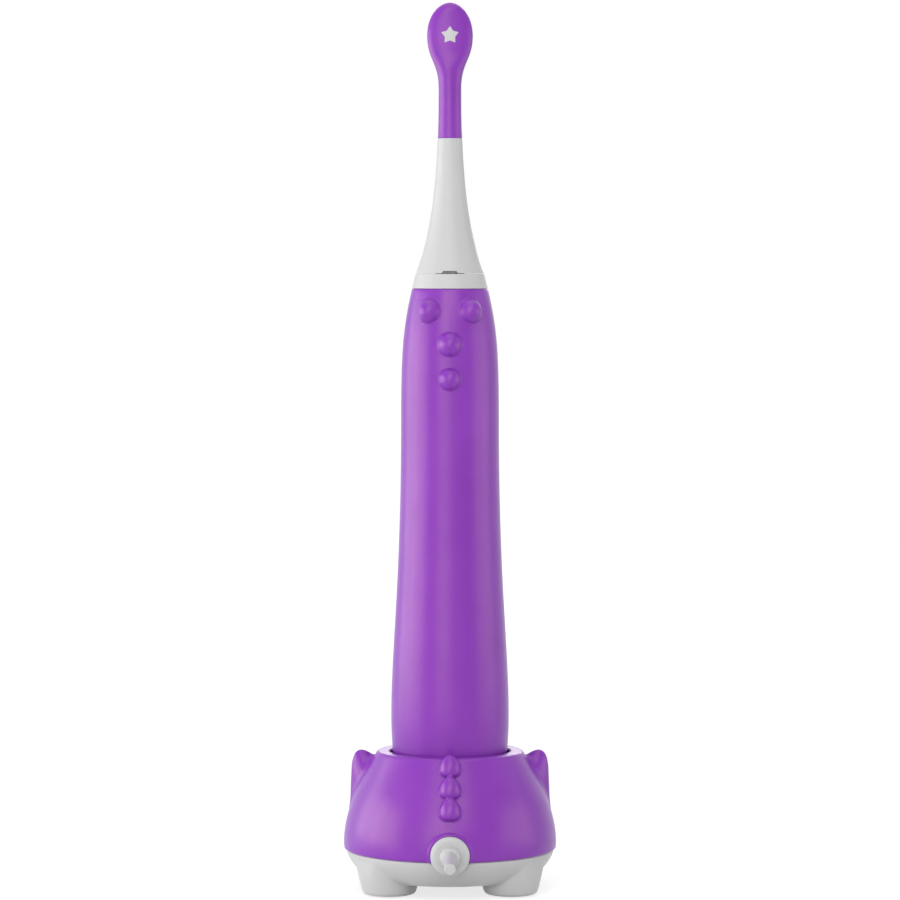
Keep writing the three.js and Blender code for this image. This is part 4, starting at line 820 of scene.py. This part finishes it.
# Azimuth in degrees, height, radius and crown of each nub
NUBS = [(-29.5, 128.1, 3.25, 2.5), (29.5, 128.1, 3.25, 2.5), (0, 119.7, 3.15, 2.4), (0, 110.9, 2.85, 2.2)]


def lamp_height(index):
    return middle_of(f"lamp_lens_{index}")[2] - HANDLE_LOW


def on_handle(azimuth, height):
    """Points of the handle's surface; azimuth in radians from its back."""
    return about_axis(handle_outline.at(height), azimuth, height + HANDLE_LOW)


def handle_normal(azimuth, height):
    lean = float(handle_outline.slope(height))
    return about_axis(math.cos(lean), azimuth, math.sin(lean))


def stud(name, azimuth_degrees, height, profile, steps=56, sharp_degrees=40):
    """Round piece on the handle: (distance from its middle, height over the surface), draped over it."""
    azimuth = math.radians(azimuth_degrees)
    radius, lean = float(handle_outline.at(height)), float(handle_outline.slope(height))
    normal = handle_normal(azimuth, height)
    angles = full_turn(steps)
    rows = []
    for reach, proud in profile:
        turn = azimuth + reach * np.cos(angles) / radius
        level = height + reach * np.sin(angles) * math.cos(lean)
        rows.append(on_handle(turn, level) + proud * normal)
    return lofted(name, rows, sharp_degrees)


def housing():
    """Handle body on a grid that is finest round the button and the lamps."""
    low, top, wall, half = CAP_HEIGHT, BODY_HEIGHT, 1.9, 0.52
    front = np.arange(-half, half, 0.22 / WAIST_RADIUS)
    azimuth = np.concatenate([front, np.linspace(half, 2 * np.pi - half, 150)[:-1]]) + np.pi
    below, above = np.linspace(low + 0.25, 82, 90), np.linspace(112.5, top - 0.3, 40)
    turn, level = np.meshgrid(azimuth, np.concatenate([below, np.arange(82.3, 112, 0.25), above]))
    sunk = np.zeros_like(turn)
    recesses = [(BUTTON_HEIGHT, BUTTON_RADIUS + BUTTON_GAP, BUTTON_POCKET)]
    recesses += [(lamp_height(i), LAMP_RADIUS + LAMP_GAP, LAMP_POCKET) for i in (1, 2)]
    for height, radius, depth in recesses:
        around = handle_outline.at(height)
        across = (np.mod(turn, 2 * np.pi) - np.pi) * around
        along = level - height
        distance = np.hypot(across, along)
        near = np.abs(distance - radius) < 0.16
        factor = np.where(near, radius / np.maximum(distance, 1e-6), 1)
        turn = turn + across * (factor - 1) / around
        level = level + along * (factor - 1)
        sunk = np.where((distance < radius) & ~near, depth, sunk)
    outside = on_handle(turn, level)
    outside[..., 1] -= sunk

    def skin(h, inset):
        return float(handle_outline.at(h)) - inset

    first = [(skin(low, 0.3), low + 0.02), (skin(low, 0.1), low + 0.08)]
    last = [(skin(top, 0.08), top - 0.09), (skin(top, 0.35), top), (7.1, top), (7.1, top + 3.2)]
    last += [(4.0, top + 3.2), (4.0, top - 2)]
    last += [(skin(h, wall), h) for h in np.linspace(top - 4, low + 0.5, 24)]
    last += [(skin(low, wall), low + 0.02)]
    first, last = ([about_axis(r, azimuth, h + HANDLE_LOW) for r, h in part] for part in (first, last))
    made = mesh_object("handle_body", *loft([*first, *outside, *last]), sharp_degrees=35)
    dress(made, "handle", "purple_shell", "handle_housing")


def bottom_cap():
    """Cap of the handle with the recess for the charger's post, and a spigot that goes up inside."""
    recess, well, wall, top = 5.8, 14.1, 1.2, CAP_HEIGHT - 0.04
    spigot, spigot_top, base = 11.4, 10.5, 1.8
    profile = [
        softened([(0, well, 0), (recess, well, 0.4), (recess, 0, 0.5)])[:-3],
        [(recess + 0.3, 0.0), (FOOT_RADIUS - FOOT_ROUND, 0.0)],
        handle_outline.rows(0.03, CAP_HEIGHT - 0.25, 24),
        [(float(handle_outline.at(CAP_HEIGHT)) - 0.25, top), (spigot, top), (spigot, spigot_top)],
        [(spigot - wall, spigot_top), (spigot - wall, base), (recess + wall, base)],
        [(recess + wall, well + wall), (0, well + wall)],
    ]
    made = turned("handle_cap", np.concatenate(profile), low=HANDLE_LOW)
    dress(made, "handle", "purple_shell", "bottom_cap")


def collar():
    """White ring under the brush head, a little prouder than the neck, with softened edges."""
    low, high, edge, inside = BODY_HEIGHT + 0.03, SEAM_HEIGHT - 0.05, 0.12, 7.3
    foot, head = float(handle_outline.at(low)), float(handle_outline.at(high))
    corner = [(edge * (1 - math.sin(t)), edge * (1 - math.cos(t))) for t in np.linspace(0, np.pi / 2, 5)]
    profile = [(inside, low), *((foot - inset, low + rise) for inset, rise in corner)]
    profile += list(handle_outline.rows(low + edge, high - edge, 10))
    profile += [*((head - inset, high - rise) for inset, rise in corner[::-1]), (inside, high)]
    made = turned("white_collar", profile, steps=180, sharp_degrees=35, low=HANDLE_LOW)
    dress(made, "handle", "white_shell", "collar_ring")


def nubs():
    """Soft domes on the handle's back, with a small fillet round their feet."""
    for index, (azimuth, height, radius, crown) in enumerate(NUBS, start=1):
        ball = (radius**2 + crown**2) / (2 * crown)
        reaches = np.linspace(0, 1, 22) * radius
        rises = np.sqrt(np.maximum(ball**2 - reaches**2, 0)) - (ball - crown)
        profile = [(r, h) for r, h in zip(reaches, rises) if h > NUB_FILLET * 0.35]
        last_reach, last_rise = profile[-1]
        corner = last_reach + last_rise / (radius / (ball - crown))
        edge = radius + NUB_FILLET
        for s in np.linspace(0, 1, 9)[1:]:
            reach = (1 - s) ** 2 * last_reach + 2 * (1 - s) * s * corner + s**2 * edge
            profile.append((reach, (1 - s) ** 2 * last_rise + 0.012 * s**2))
        profile += [(edge + 0.01, -0.4), (0, -0.4)]
        made = stud(f"grip_dome_{index}", azimuth, height, profile, sharp_degrees=60)
        dress(made, "handle", "purple_soft", f"grip_nub_{index}")


def button_and_lamps():
    face = [(BUTTON_RADIUS * share, rise) for share, rise in BUTTON_FACE]
    button = stud("start_button", 180, BUTTON_HEIGHT, face, steps=80)
    dress(button, "power_button", "white_soft", "power_button")
    lens = [(0, 0.12), (LAMP_RADIUS * 0.5, 0.09), (LAMP_RADIUS * 0.85, 0.02)]
    lens += [(LAMP_RADIUS, -0.08), (LAMP_RADIUS, -0.6), (0, -0.6)]
    for i in (1, 2):
        made = stud(f"lamp_window_{i}", 180, lamp_height(i), lens, steps=32)
        dress(made, "handle", "lens", f"lamp_lens_{i}")


# ---- brush head

HEAD_BACK, HEAD_FRONT = 2.7, 2.3
FLAT_FULL = WIDEST_HEIGHT - 4
PLATE_LOW, PLATE_TOP, OVAL_WIDEST = 50.5, 66.4, 0.56
STAR_RADIUS, STAR_WAIST, STAR_HEIGHT = 2.37, 1.38, 60.3
NOTCH_HALF, NOTCH_TOP, NOTCH_DEPTH = 2.1, 0.6, 1.5
NOTCH_SLANT, SEAM_OPENING = 0.19, 0.02
TUFT_PITCH, TUFT_RADIUS, TUFT_LENGTH = 2.05, 0.72, 9.3
TUFT_FILAMENTS, BUNDLE_RADIUS, FILAMENT_RADIUS = 34, 0.62, 0.1
SPLAY, UNEVENNESS = 0.09, 0.05
# Places along a filament and its thickness there, as shares
FILAMENT_RINGS = [(0, 1.0), (0.55, 1.0), (0.97, 1.0), (0.99, 0.8), (1.0, 0.35)]


def smooth(value):
    value = np.clip(value, 0, 1)
    return value * value * (3 - 2 * value)


def head_depth(half, height, front):
    """Half thickness of the head on its axis, and the power that rounds its section."""
    share = smooth((height - STEM_TOP) / (FLAT_FULL - STEM_TOP))
    depth = HEAD_FRONT if front else HEAD_BACK
    closing = np.minimum(1, half / (HEAD_HALF_WIDTH * 0.62))
    power = 1 + share * ((0.55 if front else 0.8) - 1)
    return half * (1 - share) + depth * np.sqrt(closing) * share, power


def head_surface(x, height, front):
    """Distance of the head's skin from the axis at a place across and up the head."""
    half = np.maximum(head_outline.at(height), 1e-6)
    full, power = head_depth(half, height, front)
    cosine = np.sqrt(np.maximum(1 - (x / half) ** 2, 0))
    return full * cosine**power


def head_cover():
    """Soft purple skin of the head and the upper stem."""
    angles = full_turn(128)
    sine, cosine = np.sin(angles), np.cos(angles)
    low, tip, edge = STEM_HEIGHT, 2.2, 0.12
    foot = low + np.array([0.0, 0.04, 0.12, 0.25, 0.5, 1.0])
    crown = HEAD_HEIGHT - tip * (1 - np.linspace(0, 1, 26)[1:]) ** 2
    rows = [np.stack([0 * angles, 0 * angles, np.full_like(angles, SEAM + low + 0.3)], 1)]
    for height in np.concatenate([foot, np.linspace(low + 2, HEAD_HEIGHT - tip, 70), crown]):
        half = max(float(head_outline.at(height)), 0)
        inset = max(0.0, edge - (height - low))
        back, front = head_depth(half, height, False), head_depth(half, height, True)
        behind = -(back[0] - inset) * np.abs(cosine) ** back[1]
        ahead = (front[0] - inset) * np.abs(cosine) ** front[1]
        y = np.where(cosine > 0, behind, ahead)
        rows.append(np.stack([(half - inset) * sine, y, np.full_like(y, SEAM + height)], 1))
    made = lofted("soft_head", rows, 50, closed=False)
    dress(made, "brush_head", "purple_soft", "head_cover")


def neck():
    """White neck with a pry notch at the back of its lower edge."""
    notch = np.arctan(NOTCH_HALF / SEAM_RADIUS)
    side = notch + np.array([0.012, 0.03, 0.06])
    around = np.linspace(notch + 0.1, 2 * np.pi - notch - 0.1, 150)
    angles = np.concatenate([np.linspace(-notch, notch, 25), side, around, 2 * np.pi - side[::-1]])
    away = np.abs(np.mod(angles + np.pi, 2 * np.pi) - np.pi)
    sunk = away <= notch + 1e-6
    slant = np.clip((0.5 - away) / (0.5 - notch), 0, 1) * np.sin(angles)
    opening = SEAM_OPENING * smooth((0.62 - away) / 0.62)

    def ring(radius, height):
        share = np.clip(height / NOTCH_TOP, 0, 1)
        turn = angles - NOTCH_SLANT * share * slant
        level = SEAM + height + opening * np.clip(1 - height / 2, 0, 1)
        return about_axis(radius, turn, level)

    low, bevel = 0.06, 0.16
    turns = np.linspace(0, math.pi / 2, 6)
    levels = [(low + bevel * (1 - math.cos(t)), bevel * (1 - math.sin(t))) for t in turns]
    levels += [(NOTCH_TOP, 0), (NOTCH_TOP + 0.06, 0)]
    levels += [(height, 0) for height in np.linspace(0.9, STEM_HEIGHT, 70)]
    rows = [ring(7.2, low)]
    for height, inset in levels:
        radius = float(neck_outline.at(height)) - inset
        rows.append(ring(radius - np.where(sunk & (height <= NOTCH_TOP), NOTCH_DEPTH, 0), height))
    rows += [ring(2.2, STEM_HEIGHT), ring(2.2, STEM_HEIGHT - 4), ring(6.6, 3.0)]
    made = mesh_object("white_neck", *loft(rows), sharp_degrees=35)
    dress(made, "brush_head", "white_shell", "head_core")


def head_patch(name, outline, proud, depth, front):
    """Plate that follows the head's skin inside an outline of (x, height) points."""
    middle = outline.mean(0)
    sign = 1 if front else -1

    def layer(share, lift):
        place = middle + (outline - middle) * share
        skin = head_surface(place[:, 0], place[:, 1], front)
        return np.stack([place[:, 0], sign * (skin + lift), SEAM + place[:, 1]], 1)

    rows = [layer(share, proud) for share in np.linspace(0, 0.97, 14)]
    rows += [layer(1, proud - 0.03), layer(1, -depth)]
    rows.append(np.tile(rows[-1].mean(0), (len(outline), 1)))
    return lofted(name, rows, 50, flipped=not front)


def star():
    """White star with slightly rounded tips in the head's back."""
    corners = []
    for i in range(10):
        angle = math.pi / 2 + i * math.pi / 5
        radius, rounding = (STAR_WAIST, 0.12) if i % 2 else (STAR_RADIUS, 0.18)
        corners.append((radius * math.cos(angle), radius * math.sin(angle), rounding))
    outline = softened(corners, 5) + (0, STAR_HEIGHT)
    dress(head_patch("star_inlay", outline, 0.02, 0.6, False), "brush_head", "white_shell")


def oval(half_width, low, high):
    """Upright oval with a narrower lower end."""
    middle = low + (high - low) * OVAL_WIDEST
    angles = full_turn(72)
    rise = np.where(np.sin(angles) > 0, high - middle, middle - low)
    return np.stack([half_width * np.cos(angles), middle + rise * np.sin(angles)], 1)


def tuft_places():
    """Each tuft's place across and up the head, and its length; the end tufts are longer."""
    pitch, radius = TUFT_PITCH, TUFT_RADIUS
    half_width = HEAD_HALF_WIDTH - 2.0 - radius - 0.15
    middle = PLATE_LOW + (PLATE_TOP - PLATE_LOW) * OVAL_WIDEST
    rows = int((PLATE_TOP - PLATE_LOW - 2 * radius - 0.6) / pitch)
    for row in range(rows + 1):
        height = PLATE_LOW + radius + 0.5 + row * pitch
        reach = (height - middle) / ((PLATE_TOP if height > middle else PLATE_LOW) - middle)
        half = half_width * math.sqrt(max(0, 1 - reach * reach))
        columns = int(2 * half / pitch) + 1
        for column in range(columns):
            yield (column - (columns - 1) / 2) * pitch, height, TUFT_LENGTH + 0.9 * reach * reach


def bristles():
    """Tufts of separate filaments with rounded ends, on a plate in the head's front."""
    seat = oval(HEAD_HALF_WIDTH - 1.1, PLATE_LOW - 0.5, PLATE_TOP + 0.5)
    dress(head_patch("bristle_seat", seat, 0.02, 0.8, True), "brush_head", "white_shell")
    random = np.random.default_rng(7)
    golden = math.pi * (3 - math.sqrt(5))
    sides, levels = 6, len(FILAMENT_RINGS)
    angles = full_turn(sides)
    circle = np.stack([np.cos(angles), np.sin(angles)], 1) * FILAMENT_RADIUS
    near = np.arange(sides)
    far = (near + 1) % sides
    points, quads, caps = [], [], []
    for x, height, length in tuft_places():
        base = float(head_surface(np.array(x), np.array(height), True)) - 0.3
        for k in range(TUFT_FILAMENTS):
            reach = BUNDLE_RADIUS * math.sqrt((k + 0.5) / TUFT_FILAMENTS)
            offset = reach * np.array([math.cos(k * golden), math.sin(k * golden)])
            lean = random.normal(0, SPLAY, 2)
            top = HEAD_FRONT + length - base + random.normal(0, UNEVENNESS)
            first = len(points) * sides
            for share, size in FILAMENT_RINGS:
                ring = (x, height) + offset * (1 + 0.1 * share) + lean * share**2 + circle * size
                depth = np.full(sides, base + top * share)
                points.append(np.stack([ring[:, 0], depth, SEAM + ring[:, 1]], 1))
            for low in range(first, first + (levels - 1) * sides, sides):
                high = low + sides
                quads.append(np.stack([low + near, high + near, high + far, low + far], 1))
            caps += [first + near, first + (levels - 1) * sides + near[::-1]]
    points, quads = np.concatenate(points), np.concatenate(quads)
    made = mesh_object("bristle_tufts", points, quads, np.array(caps), sharp_degrees=60)
    dress(made, "brush_head", "bristle", "bristle_plate")


# ---- studio

# Name, azimuth from the camera's side and elevation in degrees, distance and size in metres, watts
LAMPS = [
    ("key_back", -104, 2, 0.56, (0.36, 0.34), 1.34),
    ("key", -75, 2, 0.56, (0.36, 0.34), 1.65),
    ("side", 79, 2, 0.56, (0.44, 0.34), 1.0),
    ("front", -14, 8, 1.2, (0.6, 0.6), 3.9),
    ("high", 0, 35, 1.2, (0.9, 0.7), 6.7),
    ("top", 0, 85, 0.9, (0.8, 0.8), 3.3),
    ("rear", 172, 22, 1.2, (0.8, 0.6), 4.5),
]
LAMP_AIM = 110
AMBIENT = 0.2
PAPER, SHADE = (0.8, 0.8, 0.8, 1), (0.3, 0.3, 0.3, 1)
FLOOR_REACH, FLOOR_GAP = 6.0, 0.00005
# Distance from the middle in metres, and the floor's own brightness there where it is seen directly
GLOW_NEAR, GLOW_FAR = (0.25, 0.76), (1.8, 1.0)


def light_studio():
    """Soft lamps: two close on the left, one on the right, and others in front, above and behind."""
    middle = Vector((0, AXIS_Y, LAMP_AIM)) * MM
    for name, azimuth, elevation, distance, size, power in LAMPS:
        data = bpy.data.lights.new(name, "AREA")
        data.shape = "RECTANGLE"
        data.size, data.size_y = size
        data.energy = power
        turn, rise = math.radians(azimuth), math.radians(elevation)
        away = Vector((math.sin(turn) * math.cos(rise), -math.cos(turn) * math.cos(rise), math.sin(rise)))
        lamp = add_object(name, data)
        lamp.location = middle + away * distance
        lamp.rotation_euler = away.to_track_quat("Z", "Y").to_euler()


def show(tree, output, hidden, seen):
    """Shows one shader to the rays that see the background itself, and the other to the rest."""
    path = tree.nodes.new("ShaderNodeLightPath")
    share = path.outputs["Is Camera Ray"]
    for ray in ("Is Glossy Ray", "Is Transmission Ray"):
        larger = tree.nodes.new("ShaderNodeMath")
        larger.operation = "MAXIMUM"
        tree.links.new(share, larger.inputs[0])
        tree.links.new(path.outputs[ray], larger.inputs[1])
        share = larger.outputs[0]
    mix = tree.nodes.new("ShaderNodeMixShader")
    for source, target in zip((share, hidden.outputs[0], seen.outputs[0]), mix.inputs):
        tree.links.new(source, target)
    tree.links.new(mix.outputs[0], tree.nodes[output].inputs["Surface"])


def surround():
    """White where the surround is seen, and a weak even light on everything."""
    world = bpy.data.worlds.new("studio")
    bpy.context.scene.world = world
    world.use_nodes = True
    tree = world.node_tree
    ambient = set_values(tree.nodes["Background"], Color=(1, 1, 1, 1), Strength=AMBIENT)
    show(tree, "World Output", ambient, shader_node(tree, "Background", Color=(1, 1, 1, 1), Strength=1.0))


def floor():
    """Pale floor: white where it is seen directly, darker only in the object's shadow."""
    mesh = bpy.data.meshes.new("floor")
    corners = [(x * FLOOR_REACH, y * FLOOR_REACH, 0) for x, y in ((-1, -1), (1, -1), (1, 1), (-1, 1))]
    mesh.from_pydata(corners, [], [(0, 1, 2, 3)])
    plane = add_object("floor", mesh)
    plane.location.z = FLOOR * MM - FLOOR_GAP
    material = bpy.data.materials.new("floor")
    material.use_nodes = True
    tree = material.node_tree
    tree.nodes.remove(tree.nodes["Principled BSDF"])
    paper = shader_node(tree, "BsdfDiffuse", Color=PAPER)
    shade = shader_node(tree, "BsdfDiffuse", Color=SHADE)
    place = shader_node(tree, "TexCoord")
    away = shader_node(tree, "VectorMath")
    away.operation = "LENGTH"
    near, far = GLOW_NEAR, GLOW_FAR
    fade = shader_node(tree, "MapRange", From_Min=near[0], From_Max=far[0], To_Min=near[1], To_Max=far[1])
    glow = shader_node(tree, "Emission")
    seen = shader_node(tree, "AddShader")
    link = tree.links.new
    link(place.outputs["Object"], away.inputs[0])
    link(away.outputs["Value"], fade.inputs["Value"])
    link(fade.outputs["Result"], glow.inputs["Strength"])
    link(shade.outputs[0], seen.inputs[0])
    link(glow.outputs[0], seen.inputs[1])
    show(tree, "Material Output", paper, seen)
    plane.data.materials.append(material)


bpy.context.scene.view_settings.view_transform = "Standard"
for build in (
    finish_nodes, surround, light_studio, floor,
    top_shell, base_shell, foot_pads, cable_outlet, eyes,
    housing, bottom_cap, collar, nubs, button_and_lamps,
    head_cover, neck, star, bristles,
):
    build()
